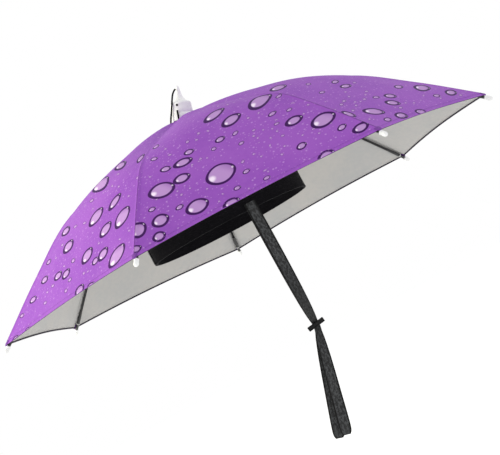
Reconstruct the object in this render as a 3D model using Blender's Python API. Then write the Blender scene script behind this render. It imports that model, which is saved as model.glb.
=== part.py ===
"""Umbrella hat: a seven-rib canopy carried over a headband, with a chin strap and slider.

Metres, +Z up. The origin is the seat on the head: the middle of the headband, at its lower edge.
+X is the wearer's front, +Y the wearer's left. The hat stands as it is worn, with the canopy open.
"""
import math

import bmesh
import bpy
from mathutils import Vector

# Canopy
RIB_COUNT = 7
FIRST_RIB_DEG = 43.5
RIM_RADIUS = 0.300
RIM_X = 0.0165
RIM_Z = -0.0066
CLOTH_WALL = 0.0012
HEM_SCALLOP = 0.0095
APEX_SKEW = -0.0075
APEX_HOLE_RADIUS = 0.0055
PANEL_COLUMNS = 8
PANEL_ROWS = 14
ROW_CROWDING = 0.85

# All as parts of the rim radius: (reach from the apex, height of a rib, rise of the cloth between ribs)
CANOPY_CURVE = (
    (0.00, 0.4695, 0.000),
    (0.15, 0.4340, 0.023),
    (0.35, 0.3850, 0.030),
    (0.60, 0.3020, 0.031),
    (0.80, 0.1610, 0.026),
    (1.00, 0.0000, 0.000),
)

# Frame; the profiles are rows of (part of the length, part of the radius)
GAP = 0.0003
RIB_THICKNESS = 0.0030
RIB_DROP = 0.0024
RIB_STEPS = 16
RIB_HINGE_GAP = 0.00075
SLOPE_STEP = 0.01
TIP_RADIUS = 0.0026
TIP_LENGTH = 0.0092
TIP_SIDES = 12
TIP_PROFILE = ((0.0, 0.70), (0.12, 1.0), (0.55, 1.0), (0.82, 0.86), (0.96, 0.50), (1.0, 0.18))
HUB_RADIUS = 0.0120
HUB_HEIGHT = 0.0055
HUB_DROP = 0.0020
HUB_PROFILE = ((0.0, 0.90), (0.25, 1.0), (0.67, 1.0), (1.0, 0.50))
POST_RADIUS = 0.0040
POST_LENGTH = 0.0300
RUNNER_RADIUS = 0.0100
RUNNER_HEIGHT = 0.0090
RUNNER_LIFT = 0.0030
STRETCHER_REACH = 0.50
STRETCHER_THICKNESS = 0.0026
ROD_SIDES = 8

# Finial: a collar with a concave spire, leaning to the front. (height along the lean, radius)
FINIAL_LEAN_DEG = 17.6
FINIAL_PROFILE = (
    (0.0040, 0.0131),
    (0.0100, 0.0126),
    (0.0162, 0.0123),
    (0.0178, 0.0112),
    (0.0197, 0.0076),
    (0.0228, 0.0050),
    (0.0275, 0.0033),
    (0.0335, 0.0022),
    (0.0375, 0.0012),
)
FINIAL_SIDES = 28
FINIAL_FOOT_RADIUS = 0.0136
FINIAL_FOOT_PARTS = (0.55, 1.0)
FINIAL_STUD_RADIUS = 0.0045
COLLAR_LOW_RADIUS = 0.0130
COLLAR_HIGH_RADIUS = 0.0124
CORD_THICKNESS = 0.0020
CORD_SIDES = 10
CORD_STEPS = 20
TAIL_STEPS = 4

# Route of the cord loop beside the finial: (height along the lean, distance from the lean's axis)
CORD_ROUTE = (
    (-0.0034, 0.0154),
    (0.0010, 0.0152),
    (0.0070, 0.0146),
    (0.0126, 0.0140),
    (0.0200, 0.0122),
    (0.0270, 0.0096),
    (0.0318, 0.0066),
    (0.0342, 0.0040),
)
CORD_ANGLE_DEG = -131.0
TAIL_HEIGHTS = (-0.0030, 0.0076)
KNOT_HEIGHT = 0.0136
KNOT_RADIUS = 0.0013
TAIL_ANGLE_DEG = -106.0
KNOT_ANGLE_DEG = -103.0

# Headband and its hangers
BAND_LENGTH = 0.1910
BAND_WIDTH = 0.1560
BAND_HEIGHT = 0.0300
BAND_WALL = 0.0024
BAND_COLUMNS = 72
HANGER_WIDTH = 0.0100
HANGER_WALL = 0.0014
HANGER_TOP_RADIUS = 0.1020

# Chin strap
STRAP_X = 0.0300
STRAP_WALL = 0.0012
STRAP_TURN_END = -0.0300
SLIDER_X = 0.0322
SLIDER_Z = -0.1415
SLIDER_SIZE = (0.0210, 0.0150, 0.0054)
SLIDER_TILT_DEG = -9.0
SLOT_SIZE = (0.0148, 0.0026)
SLOT_Y = 0.0042
STRAP_END_X = 0.0004
STRAP_END_Z = -0.2655
STRAP_END_FAN = 0.0046

# One side of the strap down to the slider: (height, distance from the middle plane, width)
STRAP_ROUTE = (
    (0.0080, 0.0758, 0.0130),
    (-0.0010, 0.0757, 0.0130),
    (-0.0300, 0.0745, 0.0130),
    (-0.0600, 0.0690, 0.0130),
    (-0.0900, 0.0560, 0.0125),
    (-0.1120, 0.0385, 0.0115),
    (-0.1270, 0.0205, 0.0100),
    (-0.1345, 0.0090, 0.0085),
    (-0.1375, 0.0050, 0.0078),
    (-0.1392, 0.0042, 0.0075),
    (-0.1450, 0.0042, 0.0075),
)

# The loose end below the slider: (part of its length, width, share of the fan, side distance)
STRAP_END_ROUTE = (
    (0.04, 0.0078, 0.00, 0.0041),
    (0.12, 0.0098, 0.05, 0.0036),
    (0.30, 0.0116, 0.28, 0.0030),
    (0.60, 0.0126, 0.60, 0.0026),
    (0.90, 0.0130, 0.92, 0.0024),
    (0.97, 0.0118, 0.98, 0.0024),
    (1.00, 0.0084, 1.00, 0.0024),
)
STRAP_STEPS_PER_ROW = 3

# Colours: (red, green, blue), roughness, metallic
FINISHES = {
    "purple_cloth": ((0.33, 0.10, 0.52), 0.55, 0.0),
    "black_steel": ((0.02, 0.02, 0.02), 0.35, 0.8),
    "white_plastic": ((0.85, 0.85, 0.85), 0.35, 0.0),
    "black_plastic": ((0.02, 0.02, 0.02), 0.40, 0.0),
    "black_elastic": ((0.015, 0.015, 0.017), 0.85, 0.0),
    "black_cord": ((0.01, 0.01, 0.01), 0.70, 0.0),
}


def clear_scene():
    for old in list(bpy.data.objects):
        bpy.data.objects.remove(old, do_unlink=True)


def finish(name):
    """The Principled material of that name, made once."""
    made = bpy.data.materials.get(name)
    if made:
        return made
    colour, roughness, metallic = FINISHES[name]
    made = bpy.data.materials.new(name)
    made.use_nodes = True
    shader = made.node_tree.nodes["Principled BSDF"]
    shader.inputs["Base Color"].default_value = (*colour, 1.0)
    shader.inputs["Roughness"].default_value = roughness
    shader.inputs["Metallic"].default_value = metallic
    return made


def add_object(name, work, finish_name, smooth_deg=40.0):
    """Turn a bmesh into a named object with outward faces and its material."""
    bmesh.ops.recalc_face_normals(work, faces=work.faces)
    mesh = bpy.data.meshes.new(name)
    work.to_mesh(mesh)
    work.free()
    mesh.shade_smooth()
    mesh.set_sharp_from_angle(angle=math.radians(smooth_deg))
    made = bpy.data.objects.new(name, mesh)
    made.data.materials.append(finish(finish_name))
    bpy.context.collection.objects.link(made)
    return made


def smooth_row(rows, x):
    """Values at x on a smooth curve through the rows, whose first column is x."""
    turned = rows if rows[0][0] < rows[-1][0] else rows[::-1]
    last = len(turned) - 2
    index = min(last, max(0, sum(row[0] <= x for row in turned) - 1))

    def slope(i, column):
        low, high = max(i - 1, 0), min(i + 1, len(turned) - 1)
        return (turned[high][column] - turned[low][column]) / (turned[high][0] - turned[low][0])

    a, b = turned[index], turned[index + 1]
    width = b[0] - a[0]
    t = (x - a[0]) / width
    values = []
    for column in range(1, len(a)):
        m0 = slope(index, column) * width
        m1 = slope(index + 1, column) * width
        rise = (2 * t**3 - 3 * t**2 + 1) * a[column] + (t**3 - 2 * t**2 + t) * m0
        values.append(rise + (3 * t**2 - 2 * t**3) * b[column] + (t**3 - t**2) * m1)
    return values


def loft(work, rings, closed=False):
    """Skin rings of points with the same count; open lofts get flat ends."""
    made = [[work.verts.new(point) for point in ring] for ring in rings]
    count = len(made[0])
    spans = len(made) if closed else len(made) - 1
    for i in range(spans):
        ring, after = made[i], made[(i + 1) % len(made)]
        for j in range(count):
            k = (j + 1) % count
            work.faces.new((ring[j], ring[k], after[k], after[j]))
    if not closed:
        work.faces.new(made[0])
        work.faces.new(made[-1])


def rod(name, path, thickness, finish_name, sides=ROD_SIDES):
    """A round rod along a path of points."""
    rings = []
    for i, point in enumerate(path):
        along = path[min(i + 1, len(path) - 1)] - path[max(i - 1, 0)]
        across = along.cross(Vector((0.0, 0.0, 1.0)))
        if across.length < 1e-6 * along.length + 1e-9:
            across = Vector((0.0, 1.0, 0.0))
        across.normalize()
        upward = across.cross(along).normalized()
        turns = [2 * math.pi * (k + 0.5) / sides for k in range(sides)]
        half = thickness / 2
        rings.append([point + across * math.cos(a) * half + upward * math.sin(a) * half for a in turns])
    work = bmesh.new()
    loft(work, rings)
    return add_object(name, work, finish_name)


def tape(name, stations, wall, finish_name):
    """A flat tape through stations of (centre, direction of the width, width)."""
    rings = []
    for i, (centre, side, width) in enumerate(stations):
        along = stations[min(i + 1, len(stations) - 1)][0] - stations[max(i - 1, 0)][0]
        side = (side - along * side.dot(along) / along.length_squared).normalized()
        face = along.cross(side).normalized()
        across, out = side * width / 2, face * wall / 2
        rings.append([centre - across - out, centre + across - out,
                      centre + across + out, centre - across + out])
    work = bmesh.new()
    loft(work, rings)
    return add_object(name, work, finish_name)


def turned(name, centre, profile, finish_name, sides=32):
    """A ring turned about the vertical from a closed profile of (radius, height)."""
    rings = []
    for k in range(sides):
        angle = 2 * math.pi * k / sides
        out = Vector((math.cos(angle), math.sin(angle), 0.0))
        rings.append([centre + out * radius + Vector((0.0, 0.0, z)) for radius, z in profile])
    work = bmesh.new()
    loft(work, rings, closed=True)
    return add_object(name, work, finish_name)


def solid_turned(name, centre, profile, finish_name, sides=24, axis=Vector((0.0, 0.0, 1.0))):
    """A solid turned about an axis, from rows of (height, radius), with flat ends."""
    side = axis.cross(Vector((0.0, 1.0, 0.0))).normalized()
    other = axis.cross(side)
    rings = []
    for height, radius in profile:
        turns = [2 * math.pi * k / sides for k in range(sides)]
        rings.append([centre + axis * height + (side * math.cos(a) + other * math.sin(a)) * radius
                      for a in turns])
    work = bmesh.new()
    loft(work, rings)
    return add_object(name, work, finish_name)


def rib_angle(index):
    return math.radians(FIRST_RIB_DEG + 360.0 / RIB_COUNT * index)


def rib_point(index, reach):
    """A point of the canopy's inner side on a rib's line, from the apex at 0 to the rim at 1."""
    angle = rib_angle(index)
    x = RIM_X + RIM_RADIUS * reach * math.cos(angle) + APEX_SKEW * (1 - reach) ** 2
    y = RIM_RADIUS * reach * math.sin(angle)
    return Vector((x, y, RIM_Z + RIM_RADIUS * smooth_row(CANOPY_CURVE, reach)[0]))


def canopy_point(column, reach):
    """A point of the canopy's inner side; column counts panels, so a whole number is a rib."""
    index = math.floor(column)
    t = column - index
    middle = 4 * t * (1 - t)
    drawn = reach * (1 - HEM_SCALLOP * middle * reach**3)
    point = rib_point(index, drawn).lerp(rib_point(index + 1, drawn), t)
    point.z += RIM_RADIUS * middle * smooth_row(CANOPY_CURVE, drawn)[1]
    return point


APEX = rib_point(0, 0.0)
HUB_TOP = APEX.z - HUB_DROP
POST_TOP = HUB_TOP - HUB_HEIGHT - GAP
POST_BOTTOM = POST_TOP - POST_LENGTH
RUNNER_BOTTOM = POST_BOTTOM + RUNNER_LIFT


def make_canopy():
    """The gored cloth, one open-centred sheet with a wall, scalloped between the ribs."""
    columns = RIB_COUNT * PANEL_COLUMNS
    first = APEX_HOLE_RADIUS / RIM_RADIUS
    work = bmesh.new()
    rows = []
    for i in range(PANEL_ROWS + 1):
        reach = first + (1 - first) * (i / PANEL_ROWS) ** ROW_CROWDING
        rows.append([work.verts.new(canopy_point(j / PANEL_COLUMNS, reach)) for j in range(columns)])
    for i in range(PANEL_ROWS):
        for j in range(columns):
            k = (j + 1) % columns
            work.faces.new((rows[i][j], rows[i + 1][j], rows[i + 1][k], rows[i][k]))
    mesh = bpy.data.meshes.new("canopy")
    work.to_mesh(mesh)
    work.free()
    mesh.shade_smooth()
    made = bpy.data.objects.new("canopy", mesh)
    made.data.materials.append(finish("purple_cloth"))
    bpy.context.collection.objects.link(made)
    wall = made.modifiers.new("cloth wall", "SOLIDIFY")
    wall.thickness = CLOTH_WALL
    wall.offset = 1.0
    wall.use_even_offset = True


def rib_path_point(index, reach, drop):
    """A point under the rib's line, set off square to it."""
    along = rib_point(index, min(1.0, reach + SLOPE_STEP)) - rib_point(index, reach - SLOPE_STEP)
    sideways = Vector((-math.sin(rib_angle(index)), math.cos(rib_angle(index)), 0.0))
    down = sideways.cross(along).normalized()
    if down.z > 0:
        down = -down
    return rib_point(index, reach) + down * drop


def make_rib(index):
    away = HUB_RADIUS + RIB_HINGE_GAP
    start = away / RIM_RADIUS
    for _ in range(3):
        start *= away / (rib_point(index, start) - APEX).xy.length
    reaches = [start + (1 - start) * i / RIB_STEPS for i in range(RIB_STEPS + 1)]
    path = [rib_path_point(index, reach, RIB_DROP) for reach in reaches]
    rod(f"rib_{index + 1}", path, RIB_THICKNESS, "black_steel")
    return path


def make_rib_tip(index, path):
    """A small moulded cap just past the rib's end, in line with it."""
    along = (path[-1] - path[-2]).normalized()
    profile = [(length * TIP_LENGTH, radius * TIP_RADIUS) for length, radius in TIP_PROFILE]
    foot = path[-1] + along * GAP
    solid_turned(f"rib_tip_{index + 1}", foot, profile, "white_plastic", TIP_SIDES, along)


def stretcher_ends(index):
    angle = rib_angle(index)
    out = Vector((math.cos(angle), math.sin(angle), 0.0))
    middle = Vector((APEX.x, APEX.y, RUNNER_BOTTOM + RUNNER_HEIGHT / 2))
    low = RIB_DROP + RIB_THICKNESS / 2 + GAP + STRETCHER_THICKNESS / 2
    far = rib_path_point(index, STRETCHER_REACH, low)
    return middle + out * (RUNNER_RADIUS + 2 * GAP), far


def make_stretcher(index):
    near, far = stretcher_ends(index)
    rod(f"stretcher_{index + 1}", [near, near.lerp(far, 0.5), far], STRETCHER_THICKNESS, "black_steel")


def band_radius(angle, half_length, half_width):
    along = half_width * math.cos(angle)
    across = half_length * math.sin(angle)
    return half_length * half_width / math.hypot(along, across)


def make_headband():
    half_length, half_width = BAND_LENGTH / 2, BAND_WIDTH / 2
    rings = []
    for k in range(BAND_COLUMNS):
        angle = 2 * math.pi * k / BAND_COLUMNS
        x, y = math.cos(angle), math.sin(angle)
        inner = Vector(((half_length - BAND_WALL) * x, (half_width - BAND_WALL) * y, 0.0))
        outer = Vector((half_length * x, half_width * y, 0.0))
        top = Vector((0.0, 0.0, BAND_HEIGHT))
        rings.append([inner, outer, outer + top, inner + top])
    work = bmesh.new()
    loft(work, rings, closed=True)
    add_object("headband", work, "black_elastic")


def make_hanger(index):
    """A plain tape from the headband's top edge up to the stretcher above it."""
    near, far = stretcher_ends(index)
    angle = rib_angle(index)
    for _ in range(4):
        radius = band_radius(angle, (BAND_LENGTH - BAND_WALL) / 2, (BAND_WIDTH - BAND_WALL) / 2)
        foot = Vector((radius * math.cos(angle), radius * math.sin(angle), BAND_HEIGHT + GAP))
        share = (HANGER_TOP_RADIUS - RUNNER_RADIUS) / (far.xy - near.xy).length
        head = near.lerp(far, share)
        angle = math.atan2(head.y, head.x)
    head.z -= STRETCHER_THICKNESS / 2 + GAP
    side = Vector((-math.sin(angle), math.cos(angle), 0.0))
    stations = [(place, side, HANGER_WIDTH) for place in (foot, foot.lerp(head, 0.5), head)]
    tape(f"hanger_{index + 1}", stations, HANGER_WALL, "black_elastic")


def make_hub():
    profile = [(height * HUB_HEIGHT, radius * HUB_RADIUS) for height, radius in HUB_PROFILE]
    solid_turned("hub", Vector((APEX.x, APEX.y, HUB_TOP - HUB_HEIGHT)), profile, "black_plastic")


def make_post_and_runner():
    foot = Vector((APEX.x, APEX.y, POST_BOTTOM))
    solid_turned("post", foot, ((0.0, POST_RADIUS), (POST_LENGTH, POST_RADIUS)), "black_plastic")
    inner, outer = POST_RADIUS + GAP, RUNNER_RADIUS
    profile = ((inner, 0.0), (outer, 0.0), (outer, RUNNER_HEIGHT), (inner, RUNNER_HEIGHT))
    turned("runner", Vector((APEX.x, APEX.y, RUNNER_BOTTOM)), profile, "black_plastic")


def lean_point(height, side_distance, angle):
    """A point about the finial's leaning axis; angle 0 is the front."""
    lean = math.radians(FINIAL_LEAN_DEG)
    axis = Vector((math.sin(lean), 0.0, math.cos(lean)))
    front = Vector((math.cos(lean), 0.0, -math.sin(lean)))
    side = Vector((0.0, 1.0, 0.0))
    foot = Vector((APEX.x, 0.0, APEX.z + CLOTH_WALL))
    return foot + axis * height + (front * math.cos(angle) + side * math.sin(angle)) * side_distance


def cloth_top(x, y):
    """Height of the canopy's upper side near the apex, over the point (x, y)."""
    angle = math.atan2(y, x - APEX.x) - math.radians(FIRST_RIB_DEG)
    column = (angle / (2 * math.pi) % 1.0) * RIB_COUNT
    away = math.hypot(x - APEX.x, y)
    reach = away / RIM_RADIUS
    for _ in range(3):
        reach *= away / (canopy_point(column, reach) - APEX).xy.length
    return canopy_point(column, reach).z + CLOTH_WALL


def make_finial():
    """The collar and spire; its foot follows the cloth, and its stud goes down to the hub."""
    turns = [2 * math.pi * k / FINIAL_SIDES for k in range(FINIAL_SIDES)]
    rings = []
    for z, radius in ((HUB_TOP + GAP, FINIAL_STUD_RADIUS), (APEX.z + CLOTH_WALL + GAP, FINIAL_STUD_RADIUS)):
        rings.append([Vector((APEX.x + radius * math.cos(a), radius * math.sin(a), z)) for a in turns])
    for part in FINIAL_FOOT_PARTS:
        ring = []
        for a in turns:
            x = APEX.x + FINIAL_FOOT_RADIUS * part * math.cos(a)
            y = FINIAL_FOOT_RADIUS * part * math.sin(a)
            ring.append(Vector((x, y, cloth_top(x, y) + 2 * GAP)))
        rings.append(ring)
    for height, radius in FINIAL_PROFILE:
        rings.append([lean_point(height, radius, a) for a in turns])
    work = bmesh.new()
    loft(work, rings)
    add_object("finial", work, "white_plastic", 50.0)


def make_finial_cords():
    """The loop up the back right of the finial, and the short end and knot on its right side."""
    first, last = CORD_ROUTE[0][0], CORD_ROUTE[-1][0]
    heights = [first + (last - first) * i / CORD_STEPS for i in range(CORD_STEPS + 1)]
    path = [lean_point(h, smooth_row(CORD_ROUTE, h)[0], math.radians(CORD_ANGLE_DEG)) for h in heights]
    rod("finial_loop", path, CORD_THICKNESS, "black_cord", CORD_SIDES)
    out = COLLAR_LOW_RADIUS + CORD_THICKNESS / 2 + GAP
    low, high = TAIL_HEIGHTS
    angle = math.radians(TAIL_ANGLE_DEG)
    path = [lean_point(low + (high - low) * i / TAIL_STEPS, out, angle) for i in range(TAIL_STEPS + 1)]
    rod("finial_loop_end", path, CORD_THICKNESS, "black_cord", CORD_SIDES)


def make_finial_knot():
    angle = math.radians(KNOT_ANGLE_DEG)
    centre = lean_point(KNOT_HEIGHT, COLLAR_HIGH_RADIUS + KNOT_RADIUS + GAP, angle)
    work = bmesh.new()
    bmesh.ops.create_icosphere(work, subdivisions=2, radius=KNOT_RADIUS)
    bmesh.ops.translate(work, vec=centre, verts=work.verts)
    add_object("finial_knot", work, "black_cord")


def strap_stations(side_sign):
    """Stations of one side of the chin strap, from the headband through the slider to its end."""
    stations = []
    top, bottom = STRAP_ROUTE[0][0], STRAP_ROUTE[-1][0]
    for i in range(len(STRAP_ROUTE) - 1):
        for step in range(STRAP_STEPS_PER_ROW):
            share = step / STRAP_STEPS_PER_ROW
            z = STRAP_ROUTE[i][0] * (1 - share) + STRAP_ROUTE[i + 1][0] * share
            distance, width = smooth_row(STRAP_ROUTE, z)
            x = STRAP_X + (SLIDER_X - STRAP_X) * (top - z) / (top - bottom)
            turn = max(0.0, min(1.0, (z - STRAP_TURN_END) / (top - STRAP_TURN_END)))
            slope = -side_sign * turn * BAND_WIDTH / BAND_LENGTH * STRAP_X / (BAND_LENGTH / 2)
            stations.append((Vector((x, side_sign * distance, z)), Vector((1.0, slope, 0.0)), width))
    for share, width, fan, distance in STRAP_END_ROUTE:
        x = SLIDER_X + (STRAP_END_X - SLIDER_X) * share - side_sign * STRAP_END_FAN * fan
        z = bottom + (STRAP_END_Z - bottom) * share
        stations.append((Vector((x, side_sign * distance, z)), Vector((1.0, 0.0, 0.0)), width))
    return stations


def make_slider():
    """A flat slide with one slot for each side of the strap."""
    length, depth, height = (size / 2 for size in SLIDER_SIZE)
    work = bmesh.new()
    outline = ((-length, -depth), (length, -depth), (length, depth), (-length, depth))
    rings = [[Vector((x, y, z)) for x, y in outline] for z in (-height, height)]
    loft(work, rings)
    made = add_object("slider", work, "black_plastic", 30.0)
    made.location = (SLIDER_X, 0.0, SLIDER_Z)
    made.rotation_euler.y = math.radians(SLIDER_TILT_DEG)
    for name, y in (("slot_right", -SLOT_Y), ("slot_left", SLOT_Y)):
        work = bmesh.new()
        bmesh.ops.create_cube(work, size=1.0)
        bmesh.ops.scale(work, vec=(*SLOT_SIZE, SLIDER_SIZE[2] * 2), verts=work.verts)
        cutter = add_object(name, work, "black_plastic")
        cutter.location = (SLIDER_X, y, SLIDER_Z)
        cutter.rotation_euler.y = math.radians(SLIDER_TILT_DEG)
        cutter.hide_render = True
        cutter.display_type = "WIRE"
        cut = made.modifiers.new(name, "BOOLEAN")
        cut.operation = "DIFFERENCE"
        cut.solver = "EXACT"
        cut.object = cutter


def main():
    clear_scene()
    make_canopy()
    for index in range(RIB_COUNT):
        path = make_rib(index)
        make_rib_tip(index, path)
        make_stretcher(index)
        make_hanger(index)
    make_hub()
    make_post_and_runner()
    make_finial()
    make_finial_cords()
    make_finial_knot()
    make_headband()
    tape("chin_strap_right", strap_stations(-1.0), STRAP_WALL, "black_elastic")
    tape("chin_strap_left", strap_stations(1.0), STRAP_WALL, "black_elastic")
    make_slider()


main()
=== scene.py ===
# %% [markdown]
# An umbrella hat is a small umbrella without a handle. Seven purple gores are sewn into a dome,
# seven ribs and seven stretchers hold it open, and an elastic band under it is what the hat sits on.
# The construction is already made at its real size, so this lesson loads it as a fixed frame and
# then makes the cloth, the printed water drops, the sewing and every finish around it.

# %% Load the frame
import math

import bmesh
import bpy
import numpy as np
from mathutils import Matrix, Vector, noise


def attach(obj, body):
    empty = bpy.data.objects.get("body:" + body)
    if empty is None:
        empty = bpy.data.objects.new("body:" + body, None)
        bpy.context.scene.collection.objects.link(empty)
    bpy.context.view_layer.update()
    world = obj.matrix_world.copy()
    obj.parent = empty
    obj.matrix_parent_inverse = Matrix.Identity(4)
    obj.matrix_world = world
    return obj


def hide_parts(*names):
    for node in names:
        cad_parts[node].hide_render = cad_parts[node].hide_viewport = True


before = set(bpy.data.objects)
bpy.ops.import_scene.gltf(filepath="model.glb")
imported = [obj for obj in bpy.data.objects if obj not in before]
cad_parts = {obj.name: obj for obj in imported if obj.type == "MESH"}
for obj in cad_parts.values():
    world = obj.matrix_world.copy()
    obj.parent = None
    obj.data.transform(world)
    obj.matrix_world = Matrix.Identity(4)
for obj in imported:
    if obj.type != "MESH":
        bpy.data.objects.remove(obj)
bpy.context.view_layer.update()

# %% [markdown]
# The camera comes first, because the printed drops are charted in the photograph's own pixels and
# are carried to the cloth along the camera's sight lines. The hat leans back in the photograph, but it
# is modelled upright, so it is the camera that rolls. It stands level with the rim, on the right side.

# %% Camera
PICTURE_SIZE = (500, 455)
SENSOR = 36.0
FOCAL_PIXELS = 1401.44
CAMERA_DISTANCE = 1.58005
CAMERA_ELEVATION_DEG = -4.503
CAMERA_ROLL_DEG = -28.043
RIM_CENTRE = Vector((0.0165, 0.0, -0.0066))
RIM_CENTRE_PIXEL = (247.227, 224.933)

elevation = math.radians(CAMERA_ELEVATION_DEG)
roll = math.radians(CAMERA_ROLL_DEG)
away = Vector((0.0, -math.cos(elevation), math.sin(elevation)))
level = Vector((1.0, 0.0, 0.0))
upright = level.cross(-away)
camera_right = level * math.cos(roll) + upright * math.sin(roll)
camera_up = upright * math.cos(roll) - level * math.sin(roll)
camera_place = RIM_CENTRE + away * CAMERA_DISTANCE

camera = bpy.data.objects.new("camera", bpy.data.cameras.new("camera"))
camera.data.sensor_width = SENSOR
camera.data.lens = FOCAL_PIXELS * SENSOR / PICTURE_SIZE[0]
camera.data.shift_x = (PICTURE_SIZE[0] / 2 - RIM_CENTRE_PIXEL[0]) / PICTURE_SIZE[0]
camera.data.shift_y = (RIM_CENTRE_PIXEL[1] - PICTURE_SIZE[1] / 2) / PICTURE_SIZE[0]
camera_axes = Matrix((camera_right, camera_up, away)).transposed().to_4x4()
camera.matrix_world = Matrix.Translation(camera_place) @ camera_axes
bpy.context.scene.collection.objects.link(camera)
bpy.context.scene.camera = camera
print("lens:", round(camera.data.lens, 1), "mm, place:", [round(v, 3) for v in camera_place])

# %% Where a point lands in the picture


def picture_places(points):
    """Pixels across and down for an array of points, by the camera's own geometry."""
    seen = points - np.array(camera_place)
    depth = -(seen @ np.array(away))
    across = RIM_CENTRE_PIXEL[0] + FOCAL_PIXELS * (seen @ np.array(camera_right)) / depth
    down = RIM_CENTRE_PIXEL[1] - FOCAL_PIXELS * (seen @ np.array(camera_up)) / depth
    return np.stack([across, down], axis=-1)


print("rim centre lands at", picture_places(np.array([RIM_CENTRE])).round(1))

# %% [markdown]
# The light is a plain photo studio. A white surround does most of the work and reaches the grey inside
# from below. A broad warm soft box at the picture's left makes the left gore the brightest, and a weak
# one fills from the upper right. The camera sees the surround as pure white, as paper is in a studio.

# %% Light
scene = bpy.context.scene
scene.view_settings.view_transform = "Standard"
world = bpy.data.worlds.new("studio")
scene.world = world
world.use_nodes = True
SURROUND = 0.90
BACKDROP = 1.0
WHITE = (1.0, 1.0, 1.0, 1.0)
world_nodes = world.node_tree
surround = world_nodes.nodes["Background"]
surround.inputs["Color"].default_value = WHITE
surround.inputs["Strength"].default_value = SURROUND
backdrop = world_nodes.nodes.new("ShaderNodeBackground")
backdrop.inputs["Color"].default_value = WHITE
backdrop.inputs["Strength"].default_value = BACKDROP
seen_ray = world_nodes.nodes.new("ShaderNodeLightPath")
either = world_nodes.nodes.new("ShaderNodeMixShader")
world_nodes.links.new(seen_ray.outputs["Is Camera Ray"], either.inputs["Fac"])
world_nodes.links.new(surround.outputs["Background"], either.inputs[1])
world_nodes.links.new(backdrop.outputs["Background"], either.inputs[2])
world_nodes.links.new(either.outputs["Shader"], world_nodes.nodes["World Output"].inputs["Surface"])

# For each soft box: (name, picture right, picture up, towards the camera, distance, size, watts, colour)
SOFT_BOXES = (
    ("key", -0.95, -0.20, 0.02, 1.5, 0.8, 22.5, (1.0, 1.0, 0.78)),
    ("fill", 0.30, 0.95, 0.25, 1.6, 1.2, 2.0, (1.0, 1.0, 1.0)),
)
for name, right, up, front, distance, size, power, colour in SOFT_BOXES:
    light = bpy.data.objects.new(name, bpy.data.lights.new(name, "AREA"))
    light.data.size = size
    light.data.energy = power
    light.data.color = colour
    towards = (camera_right * right + camera_up * up + away * front).normalized()
    light.location = RIM_CENTRE + towards * distance
    light.rotation_euler = towards.to_track_quat("Z", "Y").to_euler()
    scene.collection.objects.link(light)
print("soft boxes:", [row[0] for row in SOFT_BOXES])

# %% [markdown]
# Shader trees are long when every node takes three lines, so three small helpers keep the recipes
# short. A helper sets a socket to a plain value or joins it to another node, whichever it is given.
# Values that are the same all over a piece are set on the shader's own sockets.

# %% Shader helpers


def put(tree, socket, value):
    """Joins a socket to an output, or sets it to a plain value."""
    if isinstance(value, bpy.types.NodeSocket):
        tree.links.new(value, socket)
    elif hasattr(socket.default_value, "__len__") and not hasattr(value, "__len__"):
        socket.default_value = [value] * len(socket.default_value)
    elif hasattr(value, "__len__") and len(value) == 3 and len(socket.default_value) == 4:
        socket.default_value = (*value, 1.0)
    else:
        socket.default_value = value


def add_node(tree, kind, inputs=None, **settings):
    made = tree.nodes.new("ShaderNode" + kind)
    for key, value in settings.items():
        setattr(made, key, value)
    for key, value in (inputs or {}).items():
        put(tree, made.inputs[key], value)
    return made


def maths(tree, operation, *values):
    return add_node(tree, "Math", dict(enumerate(values)), operation=operation).outputs["Value"]


def ramp(tree, value, low, high, to_low=0.0, to_high=1.0):
    """A smooth step of value, from to_low at low to to_high at high."""
    made = add_node(tree, "MapRange", interpolation_type="SMOOTHSTEP")
    for socket, given in zip(made.inputs, (value, low, high, to_low, to_high)):
        put(tree, socket, given)
    return made.outputs["Result"]


def blend_colour(tree, factor, first, second):
    made = add_node(tree, "Mix", data_type="RGBA")
    put(tree, made.inputs["Factor"], factor)
    put(tree, made.inputs[6], first)
    put(tree, made.inputs[7], second)
    return made.outputs[2]


print("shader helpers ready")

# %% Starting a material or a node group


def new_material(name, **constants):
    """A Principled material whose plain values are set on the shader itself."""
    made = bpy.data.materials.new(name)
    made.use_nodes = True
    shader = made.node_tree.nodes["Principled BSDF"]
    for key, value in constants.items():
        put(made.node_tree, shader.inputs[key.replace("_", " ")], value)
    return made, made.node_tree, shader


def new_group(name, inputs, outputs):
    """A node group. inputs and outputs are rows of (name, kind), with a starting value for inputs."""
    tree = bpy.data.node_groups.new(name, "ShaderNodeTree")
    for label, kind, start in inputs:
        socket = tree.interface.new_socket(label, in_out="INPUT", socket_type="NodeSocket" + kind)
        if start is not None:
            socket.default_value = start
    for label, kind in outputs:
        tree.interface.new_socket(label, in_out="OUTPUT", socket_type="NodeSocket" + kind)
    return tree, tree.nodes.new("NodeGroupInput").outputs, tree.nodes.new("NodeGroupOutput").inputs


def use_group(tree, group, **inputs):
    made = add_node(tree, "Group", node_tree=group)
    for key, value in inputs.items():
        put(tree, made.inputs[key.replace("_", " ")], value)
    return made.outputs


def bump(tree, shader, height, distance):
    made = add_node(tree, "Bump", {"Height": height, "Distance": distance, "Strength": 1.0})
    put(tree, shader.inputs["Normal"], made.outputs["Normal"])


print("material and group helpers ready")

# %% [markdown]
# Every cloth on the hat is woven, so the weave is one shared group. Real umbrella cloth has threads
# crossing every quarter of a millimetre, far too fine for geometry. Two sine waves across the cloth's
# own coordinates, which are metres along and across each piece, give an over and under pattern.

# %% Weave group
BLOTCHES_PER_METRE = 260.0


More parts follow.
